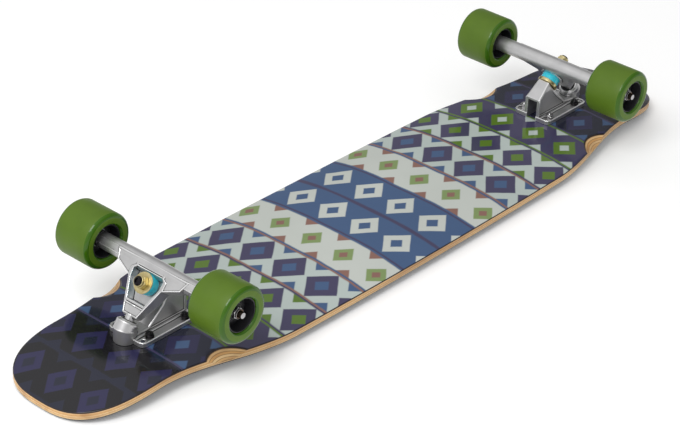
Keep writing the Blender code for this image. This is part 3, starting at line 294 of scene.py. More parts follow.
# Colours of the printed face
CREAM = srgb(188, 192, 186)
STONE = srgb(174, 184, 180)
SLATE = srgb(62, 86, 122)
PLUM = srgb(64, 60, 88)
MOSS = srgb(86, 114, 42)
SAGE = srgb(122, 142, 90)
CLAY = srgb(132, 96, 86)
INK = srgb(32, 34, 50)
CHARCOAL = srgb(26, 25, 29)
NIGHT = srgb(42, 40, 72)

BAND_COUNT = 8
BAND_PITCH = DECK_HALF_LENGTH / BAND_COUNT
PRINT_WANDER = 0.004
LOZENGE_PITCH = 0.0504
HEART_SHARE = 0.42
TOOTH_START = 1.52
STRIPE_SOFTNESS = 0.035
LOZENGE_SOFTNESS = 0.070
STRIPE = 0.455
PRINT_DEPTH = 0.00025
PRINT_EDGE = 0.00008
STAIN_DEPTH = 0.0014
DARK_EDGE_SOFTNESS = 0.0002
FOOT_DARK_DEPTH = 0.0020
PLY_COUNT = 7
PLY = DECK_THICKNESS / PLY_COUNT
GLUE_LINE = 0.09

# The print's bands, from the board's middle outward
GROUNDS = (SLATE, CREAM, STONE, STONE, PLUM, INK, CHARCOAL, CHARCOAL)
MOTIFS = (CREAM, SAGE, PLUM, PLUM, MOSS, NIGHT, NIGHT, NIGHT)
HEARTS = (SLATE, CLAY, SLATE, MOSS, STONE, SLATE, INK, INK)
STRIPES = (PLUM, SLATE, CLAY, PLUM, MOSS, PLUM, INK, INK)
SPANS = (0.80, 0.56, 0.92, 0.92, 0.70, 0.84, 0.80, 0.72)

# Colours of the wood
MAPLE = srgb(240, 212, 164)
TAN = srgb(216, 166, 104)
RUSSET = srgb(126, 74, 36)
DARK_VENEER = srgb(34, 26, 28)


def printed_face(where, x, y):
    """A woven blanket's bands of lozenges across the deck, mirrored about its middle."""
    wander = (noise(where, 26.0, 2.0) - 0.5) * PRINT_WANDER
    along = (abs(x) + wander) / BAND_PITCH
    band = along.floor().least(BAND_COUNT - 1.0)
    a = abs(along.fraction() - 0.5)
    odd = (band * 0.5).fraction() * 2.0
    b = abs((y / LOZENGE_PITCH + odd * 0.5).fraction() - 0.5)
    lozenge = (a + b) * 2.0
    ground = palette(band, GROUNDS)
    motif = palette(band, MOTIFS)
    heart = palette(band, HEARTS)
    stripe = palette(band, STRIPES)
    span = palette(band, [(share, share, share) for share in SPANS])
    color = mixed((span - lozenge).beyond(0.0, LOZENGE_SOFTNESS), ground, motif)
    color = mixed((span * HEART_SHARE - lozenge).beyond(0.0, LOZENGE_SOFTNESS), color, heart)
    color = mixed(lozenge.beyond(TOOTH_START, LOZENGE_SOFTNESS), color, heart)
    color = mixed(a.beyond(STRIPE, STRIPE_SOFTNESS), color, stripe)
    cloud = noise(where, 9.0)
    return mixed((cloud - 0.35).held() * 0.35, color, STONE, "MULTIPLY")


def deck_depth(x, y, z):
    """Depth under the unsanded printed face, in metres."""
    kick = (abs(x) - KICK_START).most(0.0) ** 2.0 / (2.0 * KICK_RADIUS)
    rise = (abs(y) - FLAT_HALF_WIDTH).most(0.0) / (DECK_HALF_WIDTH - FLAT_HALF_WIDTH)
    fade = ((abs(x) - CONCAVE_FADE_START) / (CONCAVE_FADE_END - CONCAVE_FADE_START)).held()
    fade = fade * fade * (3.0 - 2.0 * fade)
    drop = kick + CONCAVE_DEPTH * (1.0 - (1.0 - CONCAVE_REMAINDER) * fade) * rise * rise
    return DECK_FACE_Z - drop - z


def make_maple():
    """Lacquered print on the face; stained top veneer, plies, glue lines and a dark foot where it is cut."""
    made, tree, inputs = new_material("printed_maple")
    where, (x, y, z) = coordinates(tree)
    depth = deck_depth(x, y, z)
    layer = depth / PLY
    ply = layer.floor()
    grain = noise(where, 240.0, 4.0, (0.06, 1.0, 1.0))
    streak = noise(where, 60.0, 3.0, (0.10, 1.0, 1.6))
    tone = (ply * 0.37 + 0.2).fraction()
    wood = mixed(tone, MAPLE, TAN)
    wood = mixed((streak - 0.42).held() * 1.6, wood, RUSSET)
    wood = mixed((grain - 0.5).held() * 0.9, wood, RUSSET)
    line = abs((layer + 0.5).fraction() - 0.5)
    wood = mixed((-1.0 * line).beyond(-GLUE_LINE, 0.10) * 0.85, wood, RUSSET)
    # The cut edge is drawn dark near its bottom, in the top veneer's stain colour.
    foot = depth.beyond(DECK_THICKNESS - FOOT_DARK_DEPTH, DARK_EDGE_SOFTNESS)
    stain_and_dark_foot = (-1.0 * depth).beyond(-STAIN_DEPTH, DARK_EDGE_SOFTNESS).most(foot)
    wood = mixed(stain_and_dark_foot, wood, DARK_VENEER)
    inked = (-1.0 * depth).beyond(-PRINT_DEPTH, PRINT_EDGE)
    color = mixed(inked, wood, printed_face(where, x, y))
    plug(inputs["Base Color"], color)
    haze = noise(where, 14.0)
    plug(inputs["Roughness"], 0.42 - inked * 0.32 + haze * 0.06)
    plug(inputs["Specular IOR Level"], 0.38)
    pores = noise(where, 420.0, 3.0, (0.08, 1.0, 1.0))
    bumped(inputs, pores * (1.0 - inked), 0.00008)
    return made


def make_grip_finish():
    """Black grit."""
    made, tree, inputs = new_material("grip")
    where, _ = coordinates(tree)
    grit = noise(where, 2600.0, 4.0)
    fleck = grit.beyond(0.66, 0.05)
    plug(inputs["Base Color"], mixed(fleck, srgb(24, 24, 26), srgb(92, 92, 96)))
    plug(inputs["Roughness"], 0.92 - fleck * 0.5)
    bumped(inputs, grit, 0.0005, 0.9)
    return made


def make_cast():
    """Satin tumbled cast aluminium, with a painted highlight along its crests and painted shade in its hollows."""
    made, tree, inputs = new_material("cast_aluminium")
    where, _ = coordinates(tree)
    cloud = noise(where, 55.0, 4.0)
    fine = noise(where, 1300.0)
    marks = tree.nodes.new("ShaderNodeAttribute")
    marks.attribute_name = BEND
    bend = Wire(tree, marks.outputs["Fac"])
    # Painted highlight: crests are whitened. Painted shade: hollows are darkened.
    crest_highlight = ((bend - CREST_START) * CREST_GAIN).held()
    hollow_shade = ((bend + HOLLOW_START) * -HOLLOW_GAIN).held()
    color = mixed(cloud, srgb(174, 174, 175), srgb(206, 205, 205))
    color = mixed(crest_highlight, color, srgb(250, 250, 250))
    color = mixed(hollow_shade, color, srgb(52, 51, 52))
    plug(inputs["Base Color"], color)
    plug(inputs["Metallic"], 0.88)
    plug(inputs["Roughness"], 0.27 + cloud * 0.08 + fine * 0.08 - crest_highlight * 0.10 + hollow_shade * 0.2)
    bumped(inputs, fine * 0.5 + cloud * 0.5, 0.00006, 0.6)
    return made


def make_plated(name, low, high, roughness):
    """Plated or blackened steel with faint clouding."""
    made, tree, inputs = new_material(name)
    where, _ = coordinates(tree)
    cloud = noise(where, 260.0, 4.0)
    plug(inputs["Base Color"], mixed(cloud, low, high))
    plug(inputs["Metallic"], 1.0)
    plug(inputs["Roughness"], roughness + cloud * 0.12)
    bumped(inputs, noise(where, 1800.0, 2.0), 0.00002)
    return made


def make_urethane(name, low, high, roughness, glow):
    """Cast urethane, a little uneven, with some light under its skin."""
    made, tree, inputs = new_material(name)
    where, _ = coordinates(tree)
    cloud = noise(where, 40.0)
    fine = noise(where, 1500.0)
    plug(inputs["Base Color"], mixed(cloud, low, high))
    plug(inputs["Roughness"], roughness + fine * 0.10)
    plug(inputs["Subsurface Weight"], glow)
    inputs["Subsurface Radius"].default_value = (0.5, 1.0, 0.5)
    plug(inputs["Subsurface Scale"], 0.002)
    bumped(inputs, fine, 0.00003)
    return made


TREAD_RADIUS = (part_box("front_left_tyre")[1].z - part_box("front_left_tyre")[0].z) / 2.0
LIP_RADIUS = 0.0052
MOUTH_RADIUS = 0.0220
MOUTH_ROUND = 0.0007
ZONE_EDGE = 0.0004


def make_tyre_finish():
    """Green urethane: ground tread, glossy lips and mouth, satin face; the lips carry a painted dark reflection
    and the mouth painted shade.
    """
    made, tree, inputs = new_material("green_urethane")
    where, (x, y, z) = coordinates(tree)
    radius = (x * x + y * y) ** 0.5
    tread = radius.beyond(TREAD_RADIUS - ZONE_EDGE / 2.0, ZONE_EDGE / 4.0)
    lip = radius.beyond(TREAD_RADIUS - LIP_RADIUS * 0.90, ZONE_EDGE)
    mouth = 1.0 - radius.beyond(MOUTH_RADIUS + MOUTH_ROUND, ZONE_EDGE)
    gloss_and_shade_zone = lip.most(mouth) - tread
    cloud = noise(where, 45.0)
    fine = noise(where, 900.0, 3.0, (0.15, 0.15, 1.0))
    side = mixed(cloud, srgb(76, 108, 0), srgb(86, 118, 6))
    # Painted dark reflection on the lips and painted shade in the mouth: their base colour is darker than the
    # face's.
    painted_shade_green = mixed(cloud, srgb(48, 88, 0), srgb(58, 100, 0))
    ground = mixed(cloud, srgb(70, 98, 4), srgb(82, 110, 12))
    color = mixed(tread, mixed(gloss_and_shade_zone, side, painted_shade_green), ground)
    plug(inputs["Base Color"], color)
    plug(inputs["Roughness"], 0.46 + tread * 0.02 - gloss_and_shade_zone * 0.36 + fine * 0.04)
    plug(inputs["Specular IOR Level"], 0.36)
    bumped(inputs, fine * tread, 0.00005, 0.6)
    return made


def make_satin(name, low, high):
    """Satin moulded nylon."""
    made, tree, inputs = new_material(name)
    where, _ = coordinates(tree)
    fine = noise(where, 1400.0)
    plug(inputs["Base Color"], mixed(fine, low, high))
    plug(inputs["Roughness"], 0.34 + fine * 0.15)
    bumped(inputs, fine, 0.00004)
    return made


FINISHES = {
    "printed_maple": make_maple(),
    "grip": make_grip_finish(),
    "cast_aluminium": make_cast(),
    "pale_gold_zinc": make_plated("pale_gold_zinc", srgb(166, 146, 88), srgb(222, 212, 168), 0.24),
    "black_steel": make_plated("black_steel", srgb(34, 33, 36), srgb(58, 56, 58), 0.24),
    "bright_zinc": make_plated("bright_zinc", srgb(150, 149, 150), srgb(196, 195, 196), 0.10),
    "cyan_urethane": make_urethane("cyan_urethane", srgb(44, 192, 214), srgb(72, 208, 224), 0.18, 0.25),
    "black_urethane": make_urethane("black_urethane", srgb(26, 26, 27), srgb(36, 36, 38), 0.40, 0.0),
    "green_urethane": make_tyre_finish(),
    "black_nylon": make_satin("black_nylon", srgb(20, 20, 23), srgb(36, 36, 40)),
    "amber_nylon": make_satin("amber_nylon", srgb(84, 54, 28), srgb(116, 80, 44)),
    "dark_steel": make_plated("dark_steel", srgb(34, 28, 24), srgb(60, 50, 42), 0.42),
}
SLOTS = {piece["node"]: piece["material_slot"] for piece in frame["record"]["subparts"]}
CARRIED = frame["record"]["behaviour"]["bodies"]
BODIES = {node: body for body, nodes in CARRIED.items() for node in nodes}


# Shapes
EASE_LIMIT = 0.45
HEX_CHAMFER_START = 0.985
HEX_CHAMFER_STEPS = 5
THREAD_STEPS = 6.0


def shaded(mesh):
    """The same mesh with its round sides smooth and its edges sharp."""
    mesh.shade_smooth()
    mesh.set_sharp_from_angle(angle=SMOOTH_ANGLE)
    return mesh


def mesh_from(form, name):
    """Turn a bmesh into a shaded mesh with its faces out."""
    bmesh.ops.recalc_face_normals(form, faces=form.faces)
    mesh = bpy.data.meshes.new(name)
    form.to_mesh(mesh)
    form.free()
    return shaded(mesh)


def lathe(name, rows, segments=ROUND_SEGMENTS, inked=()):
    """A form turned about Z from rows of radius, or its formula by angle, and height.

    The faces past an inked row get the second finish.
    """
    form = bmesh.new()
    rings = []
    for radius, height in rows:
        if radius == 0.0:
            rings.append([form.verts.new((0.0, 0.0, height))] * segments)
            continue
        rings.append([])
        for step in range(segments):
            angle = math.tau * step / segments
            reach = radius(angle) if callable(radius) else radius
            rings[-1].append(form.verts.new((reach * math.cos(angle), reach * math.sin(angle), height)))
    pairs = list(zip(rings[:-1], rings[1:]))
    if rows[0][0] != 0.0:
        pairs.append((rings[-1], rings[0]))
    for index, (first, second) in enumerate(pairs):
        for step in range(segments):
            after = (step + 1) % segments
            corners = list(dict.fromkeys((first[step], first[after], second[after], second[step])))
            form.faces.new(corners).material_index = 1 if index in inked else 0
    return mesh_from(form, name)


def eased(corners, size, steps=4, closed=True):
    """A profile with each corner replaced by a short curve."""
    eased_rows = []
    count = len(corners)
    for index, corner in enumerate(corners):
        here = Vector(corner)
        if not closed and index in (0, count - 1):
            eased_rows.append(tuple(here))
            continue
        before = Vector(corners[index - 1]) - here
        after = Vector(corners[(index + 1) % count]) - here
        start = here + before.normalized() * min(size, before.length * EASE_LIMIT)
        end = here + after.normalized() * min(size, after.length * EASE_LIMIT)
        for step in range(steps + 1):
            share = step / steps
            eased_rows.append(tuple(start.lerp(here, share).lerp(here.lerp(end, share), share)))
    return eased_rows


def arc_rows(middle, radius, start, end, steps=16):
    """Rows along an arc of a profile about a place of radius and height."""
    angles = [start + (end - start) * step / steps for step in range(steps + 1)]
    return [(middle[0] + radius * math.cos(angle), middle[1] + radius * math.sin(angle)) for angle in angles]


def hexed(half_flats, cap):
    """A hexagon's radius by angle, cut round where a chamfer's cone reaches it."""
    wedge = math.pi / 3.0
    return lambda angle: min(cap, half_flats / math.cos((angle + wedge / 2.0) % wedge - wedge / 2.0))


def hex_rows(half_flats, low, high, chamfer):
    """Rows up the side of a hexagon with its corners chamfered round at both ends."""
    corner = half_flats / math.cos(math.pi / 6.0)
    start = half_flats * HEX_CHAMFER_START
    shares = [step / HEX_CHAMFER_STEPS for step in range(HEX_CHAMFER_STEPS + 1)]
    cone = [(start + (corner - start) * share, chamfer * share) for share in shares]
    rows = [(hexed(half_flats, cap), low + rise) for cap, rise in cone]
    return rows + [(hexed(half_flats, cap), high - rise) for cap, rise in reversed(cone)]


def thread_rows(radius, low, high, pitch, depth):
    """Rows of a helical thread, whose ridge climbs one pitch a turn."""
    def ridge(height):
        return lambda angle: radius - depth * abs(2.0 * ((height / pitch - angle / math.tau) % 1.0) - 1.0)

    count = max(2, round((high - low) / pitch * THREAD_STEPS))
    heights = [low + (high - low) * step / count for step in range(count + 1)]
    return [(ridge(height), height) for height in heights]


def modify(body, kind, **settings):
    """Give a body a modifier with its settings."""
    change = body.modifiers.new(kind, kind)
    for name, value in settings.items():
        setattr(change, name, value)


def cut_by(base, tools):
    """The mesh that is left when each tool in turn is cut from the base."""
    body = linked(base.name, base)
    helpers = [linked(tool.name, tool) for tool in tools]
    for helper in helpers:
        modify(body, "BOOLEAN", operation="DIFFERENCE", object=helper)
    result = finished_mesh(body)
    for helper in helpers:
        bpy.data.objects.remove(helper, do_unlink=True)
    return result


def finished_mesh(body):
    """A body's mesh after its modifiers; the body goes."""
    graph = bpy.context.evaluated_depsgraph_get()
    graph.update()
    result = bpy.data.meshes.new_from_object(body.evaluated_get(graph))
    bpy.data.objects.remove(body, do_unlink=True)
    return result


def moved(mesh, matrix):
    """The same mesh after a transform."""
    mesh.transform(matrix)
    return mesh


# Placing pieces
FRONT_RING = Vector(JOINTS["front_steering"]["pos_m"])
REAR_RING = Vector(JOINTS["rear_steering"]["pos_m"])
BOARD_MIDDLE = Matrix.Translation(((FRONT_RING.x + REAR_RING.x) / 2.0, 0.0, 0.0))
HALF_TURN = BOARD_MIDDLE @ Matrix.Rotation(math.pi, 4, "Z") @ BOARD_MIDDLE.inverted()


def rear_name(node):
    """The rear node that a front node turns into."""
    swap = {"front": "rear", "left": "right", "right": "left"}
    return "_".join(swap.get(word, word) for word in node.split("_"))


def place(node, mesh, matrix, second=None, bends=None):
    """A piece that stands for a CAD node and moves with its body, or, when bends are given, stays unattached where
    it is placed.
    """
    if not mesh.materials:
        for finish in filter(None, (SLOTS[node], second)):
            mesh.materials.append(FINISHES[finish])
    piece = linked(node + "_finished", mesh)
    piece.matrix_world = matrix
    if bends:
        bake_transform(piece)
    else:
        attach(piece, BODIES[node])
    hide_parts(node)


def place_twice(node, mesh, matrix, second=None):
    """A truck piece at the front, and turned round at the rear."""
    place(node, mesh, matrix, second)
    place(rear_name(node), mesh.copy(), HALF_TURN @ matrix, second)


def measured(node, matrix):
    """A node's lowest and highest place along a local Z axis, and its largest radius."""
    back = matrix.inverted()
    spots = [back @ vertex.co for vertex in NODES[node].data.vertices]
    heights = [spot.z for spot in spots]
    return min(heights), max(heights), max(math.hypot(spot.x, spot.y) for spot in spots)


# Deck and grip
def smooth_step(value):
    """0 to 1 with level ends, as a value goes from 0 to 1."""
    held = min(max(value, 0.0), 1.0)
    return held * held * (3.0 - 2.0 * held)


def half_width(x):
    """Half of the deck's width at x, up to the neck."""
    along = abs(x)
    platform = DECK_HALF_WIDTH - PLATFORM_SWEEP * min(along / PLATFORM_END, 1.0) ** 2
    share = smooth_step((along - PLATFORM_END) / (NECK_START - PLATFORM_END))
    return platform + (NECK_HALF_WIDTH - platform) * share


def face_drop(x, y):
    """How far the deck's printed face lies below its level middle at x, y."""
    kick = max(abs(x) - KICK_START, 0.0) ** 2 / (2.0 * KICK_RADIUS)
    rise = max(abs(y) - FLAT_HALF_WIDTH, 0.0) / (DECK_HALF_WIDTH - FLAT_HALF_WIDTH)
    fade = smooth_step((abs(x) - CONCAVE_FADE_START) / (CONCAVE_FADE_END - CONCAVE_FADE_START))
    return kick + CONCAVE_DEPTH * (1.0 - (1.0 - CONCAVE_REMAINDER) * fade) * rise ** 2


def outline_stations():
    """Edge points from tail to nose on the +Y side, each with the edge's outward normal."""
    taper = NECK_START - PLATFORM_END
    places = [PLATFORM_END * step / PLATFORM_STEPS for step in range(PLATFORM_STEPS)]
    places += [PLATFORM_END + taper * step / TAPER_STEPS for step in range(TAPER_STEPS)]
    half = [Vector((x, 0.0)) for x in places]
    for point in half:
        point.y = half_width(point.x)
    for step in range(TIP_STEPS + 1):
        angle = TIP_LAST_ANGLE * step / TIP_STEPS
        x = NECK_START + (DECK_HALF_LENGTH - NECK_START) * math.sin(angle) ** (2.0 / TIP_POWER)
        half.append(Vector((x, NECK_HALF_WIDTH * math.cos(angle) ** (2.0 / TIP_POWER))))
    edge = [Vector((-point.x, point.y)) for point in reversed(half[1:])] + half
    stations = []
    for index, point in enumerate(edge):
        run = (edge[min(index + 1, len(edge) - 1)] - edge[max(index - 1, 0)]).normalized()
        stations.append((point, Vector((-run.y, run.x))))
    return stations


FLAT_SHARE = 0.55
SEAM_HALF_WIDTH = 0.0004
SIDE_SEAM_HALF_WIDTH = 0.0006


def sheet(name, edge_rows, top_drop):
    """A sheet that follows the deck's curves, from its top face down through rows of its edge."""
    form = bmesh.new()
    loops = []
    for point, normal in outline_stations():
        inner = point - normal * edge_rows[0][0]
        inner.y = max(inner.y, SEAM_HALF_WIDTH)
        flat = min(FLAT_HALF_WIDTH, FLAT_SHARE * inner.y)
        lines = [0.0, flat / 2.0]
        lines += [flat + (inner.y - flat) * step / CONCAVE_STEPS for step in range(CONCAVE_STEPS + 1)]
        ordered = [-y for y in reversed(lines[1:])] + lines
        spots = [(inner.x, y, DECK_FACE_Z - face_drop(inner.x, y) - top_drop) for y in ordered]
        edge = DECK_FACE_Z - face_drop(inner.x, inner.y) - top_drop
        sides = []
        for row_inset, drop in edge_rows[1:-1]:
            spot = point - normal * row_inset
            sides.append((spot.x, max(spot.y, SIDE_SEAM_HALF_WIDTH), edge - drop))
        foot = point - normal * edge_rows[-1][0]
        scale = max(foot.y, SEAM_HALF_WIDTH) / inner.y
        under = [(foot.x, y * scale, DECK_FACE_Z - face_drop(inner.x, y) - top_drop - edge_rows[-1][1])
                 for y in reversed(ordered)]
        ring = spots + sides + under + [(x, -y, z) for x, y, z in reversed(sides)]
        loops.append([form.verts.new(spot) for spot in ring])
    count = len(loops[0])
    for first, second in zip(loops[:-1], loops[1:]):
        for step in range(count):
            after = (step + 1) % count
            form.faces.new((first[step], first[after], second[after], second[step]))
    across = len(ordered)
    side_rows = len(edge_rows) - 2
    for loop in (loops[0], loops[-1]):
        top, right = loop[:across], loop[across:across + side_rows]
        foot = loop[across + side_rows:2 * across + side_rows]
        left = list(reversed(loop[2 * across + side_rows:]))
        if not side_rows:
            form.faces.new(top + foot)
            continue
        form.faces.new(top + [right[0], left[0]])
        for row in range(side_rows - 1):
            form.faces.new((left[row], right[row], right[row + 1], left[row + 1]))
        form.faces.new([left[-1], right[-1]] + foot)
    return mesh_from(form, name)


def bolt_nodes():
    """The nodes of the mounting bolts."""
    return sorted(node for node in NODES if "_bolt_" in node)


def hole_cutters():
    """The countersunk holes, one round each mounting bolt."""
    cutters = []
    for node in bolt_nodes():
        low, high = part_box(node)
        middle = (low + high) / 2.0
        cone = BOLT_HEAD_RADIUS - BOLT_RADIUS
        wide = BOLT_RADIUS + BOLT_CLEARANCE
        foot = low.z - BOLT_CLEARANCE
        rows = [(0.0, foot), (BOLT_HEAD_RADIUS + 2.0 * BOLT_CLEARANCE, foot)]
        rows += [(wide, low.z + cone + CONE_CLEARANCE), (wide, high.z), (0.0, high.z)]
        hole = lathe("hole", rows, HOLE_SEGMENTS)
        cutters.append(moved(hole, Matrix.Translation((middle.x, middle.y, 0.0))))
    return cutters


def well_cutters():
    """The four tilted drums that sand the wheel wells."""
    drums = []
    centre = JOINTS["front_left_wheel_spin"]["pos_m"][0] - BOARD_MIDDLE.translation.x
    for end in (1.0, -1.0):
        for side in (1.0, -1.0):
            x = end * (centre - WELL_INBOARD)
            apex = Vector((x, side * WELL_REACH_IN, DECK_FACE_Z - face_drop(x, WELL_REACH_IN)))
            outward = Vector((0.0, side * math.cos(WELL_TILT), -math.sin(WELL_TILT)))
            normal = Vector((0.0, side * math.sin(WELL_TILT), math.cos(WELL_TILT)))
            rows = [(0.0, 0.0), (WELL_DRUM_RADIUS, 0.0)]
            rows += [(WELL_DRUM_RADIUS, WELL_DRUM_LENGTH), (0.0, WELL_DRUM_LENGTH)]
            turn = outward.to_track_quat("Z", "Y").to_matrix().to_4x4()
            middle = Matrix.Translation(apex + normal * WELL_DRUM_RADIUS)
            drums.append(moved(lathe("drum", rows, WELL_SEGMENTS), middle @ turn))
    return drums


def make_deck():
    """Deck with round edges, wheel wells and bolt holes, and the grip under it."""
    quarter = [math.pi / 2.0 * step / EDGE_STEPS for step in range(EDGE_STEPS + 1)]
    rows = [(EDGE_ROUND * (1.0 - math.sin(angle)), EDGE_ROUND * (1.0 - math.cos(angle))) for angle in quarter]
    rows += [(inset, DECK_THICKNESS - drop) for inset, drop in reversed(rows)]
    cut = cut_by(sheet("deck_fine", rows, 0.0), well_cutters() + hole_cutters())
    place("deck", shaded(cut), Matrix.Identity(4))
    rows = [(GRIP_INSET, 0.0), (GRIP_INSET, GRIP_THICKNESS)]
    cut = cut_by(sheet("grip_fine", rows, DECK_THICKNESS + SEAT_GAP), hole_cutters())
    place("grip_tape", shaded(cut), Matrix.Identity(4))


# Trucks
KINGPIN_TILT = math.radians(52.2)
KINGPIN = Matrix.Translation(FRONT_RING) @ Matrix.Rotation(KINGPIN_TILT, 4, "Y")
HUB = Vector(JOINTS["front_left_wheel_spin"]["pos_m"])
AXLE_LINE = Matrix.Translation((HUB.x, 0.0, HUB.z)) @ Matrix.Rotation(-math.pi / 2.0, 4, "X")
TUBE_RADIUS = 0.0096
TUBE_MIDDLE_RADIUS = 0.0104
TUBE_TAPER_HALF_LENGTH = 0.050
TUBE_SHOULDER_RADIUS = 0.0068
TUBE_SHOULDER_LENGTH = 0.0030
AXLE_BORE = 0.0043
PIVOT_HEIGHT = 0.0105
PIVOT_REACH = 0.053
PIVOT_BALL_BORE = 0.0065
PIVOT_CUP_RADIUS = 0.0083
HOUSING_BORE = 0.0086
HOUSING_RADIUS = 0.0128
HOUSING_MOUTH = 0.0442
HOUSING_STEP = 0.0008
HOUSING_CHAMFER = 0.0018
HOUSING_BOSS_RADIUS = 0.0131
PIVOT_LINE = KINGPIN @ Matrix.Translation((0.0, 0.0, PIVOT_HEIGHT)) @ Matrix.Rotation(math.pi / 2.0, 4, "Y")
VOXEL = 0.00038
HANGER_SMOOTH_ROUNDS = 3
BASEPLATE_SMOOTH_ROUNDS = 5
CAST_FACES_KEPT = 0.25
CAST_WELD = 0.000002
FLATTEN_WEIGHT = 60
FACING_BACK = 0.0040
FACING_FRONT = 0.0050
FACING_HEIGHT = 0.0094
FACING_START = 0.0470
FACING_PANEL = (0.0590, 0.0800)
FACING_RIB = 0.0014
FACING_PANEL_DEPTH = 0.0007


def vertex_vectors(mesh, kind):
    """The place or normal of every vertex, one to a row."""
    values = np.empty(len(mesh.vertices) * 3)
    mesh.vertices.foreach_get(kind, values)
    return values.reshape(-1, 3)


def mark_bends(mesh):
    """Store how sharply a surface bends, above zero on crests and below it in hollows."""
    spots, normals = [vertex_vectors(mesh, kind) for kind in ("co", "normal")]
    ends = np.empty(len(mesh.edges) * 2, dtype=np.int32)
    mesh.edges.foreach_get("vertices", ends)
    first, second = ends.reshape(-1, 2).T
    run = spots[second] - spots[first]
    run /= np.maximum(np.linalg.norm(run, axis=1), 1e-9)[:, None]
    count = len(mesh.vertices)
    number = np.maximum(np.bincount(first, minlength=count) + np.bincount(second, minlength=count), 1)
    rise = np.bincount(first, (run * normals[first]).sum(1), count)
    rise -= np.bincount(second, (run * normals[second]).sum(1), count)
    bend = -rise / number
    for _ in range(BEND_SPREAD):
        near = np.bincount(first, bend[second], count) + np.bincount(second, bend[first], count)
        bend = 0.5 * bend + 0.5 * near / number
    mesh.attributes.new(BEND, "FLOAT", "POINT").data.foreach_set("value", bend)


def cast_copy(node, extras, rounds):
    """A cast node with finer round forms joined on and every edge softened as a casting's is."""
    form = bmesh.new()
    form.from_mesh(NODES[node].data)
    for extra in extras:
        form.from_mesh(extra)
    bmesh.ops.remove_doubles(form, verts=form.verts, dist=CAST_WELD)
    mesh = bpy.data.meshes.new(node + "_cast")
    form.to_mesh(mesh)
    form.free()
    body = linked(mesh.name, mesh)
    modify(body, "REMESH", mode="VOXEL", voxel_size=VOXEL, use_smooth_shade=True)
    modify(body, "SMOOTH", factor=0.5, iterations=rounds)
    mesh = finished_mesh(body)
    mark_bends(mesh)
    body = linked(mesh.name, mesh)
    modify(body, "DECIMATE", ratio=CAST_FACES_KEPT)
    modify(body, "WEIGHTED_NORMAL", mode="FACE_AREA_WITH_ANGLE", weight=FLATTEN_WEIGHT)
    return finished_mesh(body)


def box_mesh(low, high):
    """A block between two corners, for joining or cutting."""
    form = bmesh.new()
    bmesh.ops.create_cube(form, size=1.0)
    low, high = Vector(low), Vector(high)
    for vertex in form.verts:
        share = vertex.co + Vector((0.5, 0.5, 0.5))
        vertex.co = Vector(a + (b - a) * s for a, b, s in zip(low, high, share))
    return mesh_from(form, "block")


def beam_facing(side, end):
    """The flat, bordered face of the hanger's beam from its yoke to its shoulder."""
    axle = KINGPIN.inverted() @ Vector((HUB.x, 0.0, HUB.z))
    top = axle.z + FACING_HEIGHT
    spans = sorted((side * FACING_START, side * end))
    back = axle.x - FACING_BACK
    front = axle.x + FACING_FRONT
    block = box_mesh((back, spans[0], axle.z), (front, spans[1], top))
    spans = sorted(side * reach for reach in FACING_PANEL)
    low = (back + FACING_RIB, spans[0], top - FACING_PANEL_DEPTH)
    high = (front - FACING_RIB, spans[1], top + FACING_PANEL_DEPTH)
    return moved(cut_by(block, [box_mesh(low, high)]), KINGPIN)


def make_hangers():
    """Hangers with a truly round tube and a bordered face along the beam."""
    half = measured("front_hanger", AXLE_LINE)[1]
    shoulder = half - TUBE_SHOULDER_LENGTH
    side = [(TUBE_MIDDLE_RADIUS, 0.0), (TUBE_RADIUS, TUBE_TAPER_HALF_LENGTH), (TUBE_RADIUS, shoulder)]
    side += [(TUBE_SHOULDER_RADIUS, shoulder), (TUBE_SHOULDER_RADIUS, half), (AXLE_BORE, half)]
    rows = [(radius, -height) for radius, height in reversed(side[1:])] + side
    extras = [moved(lathe("tube", rows), AXLE_LINE)]
    extras += [beam_facing(hand, shoulder) for hand in (1.0, -1.0)]
    casting = cast_copy("front_hanger", extras, HANGER_SMOOTH_ROUNDS)
    place_twice("front_hanger", casting, Matrix.Identity(4))


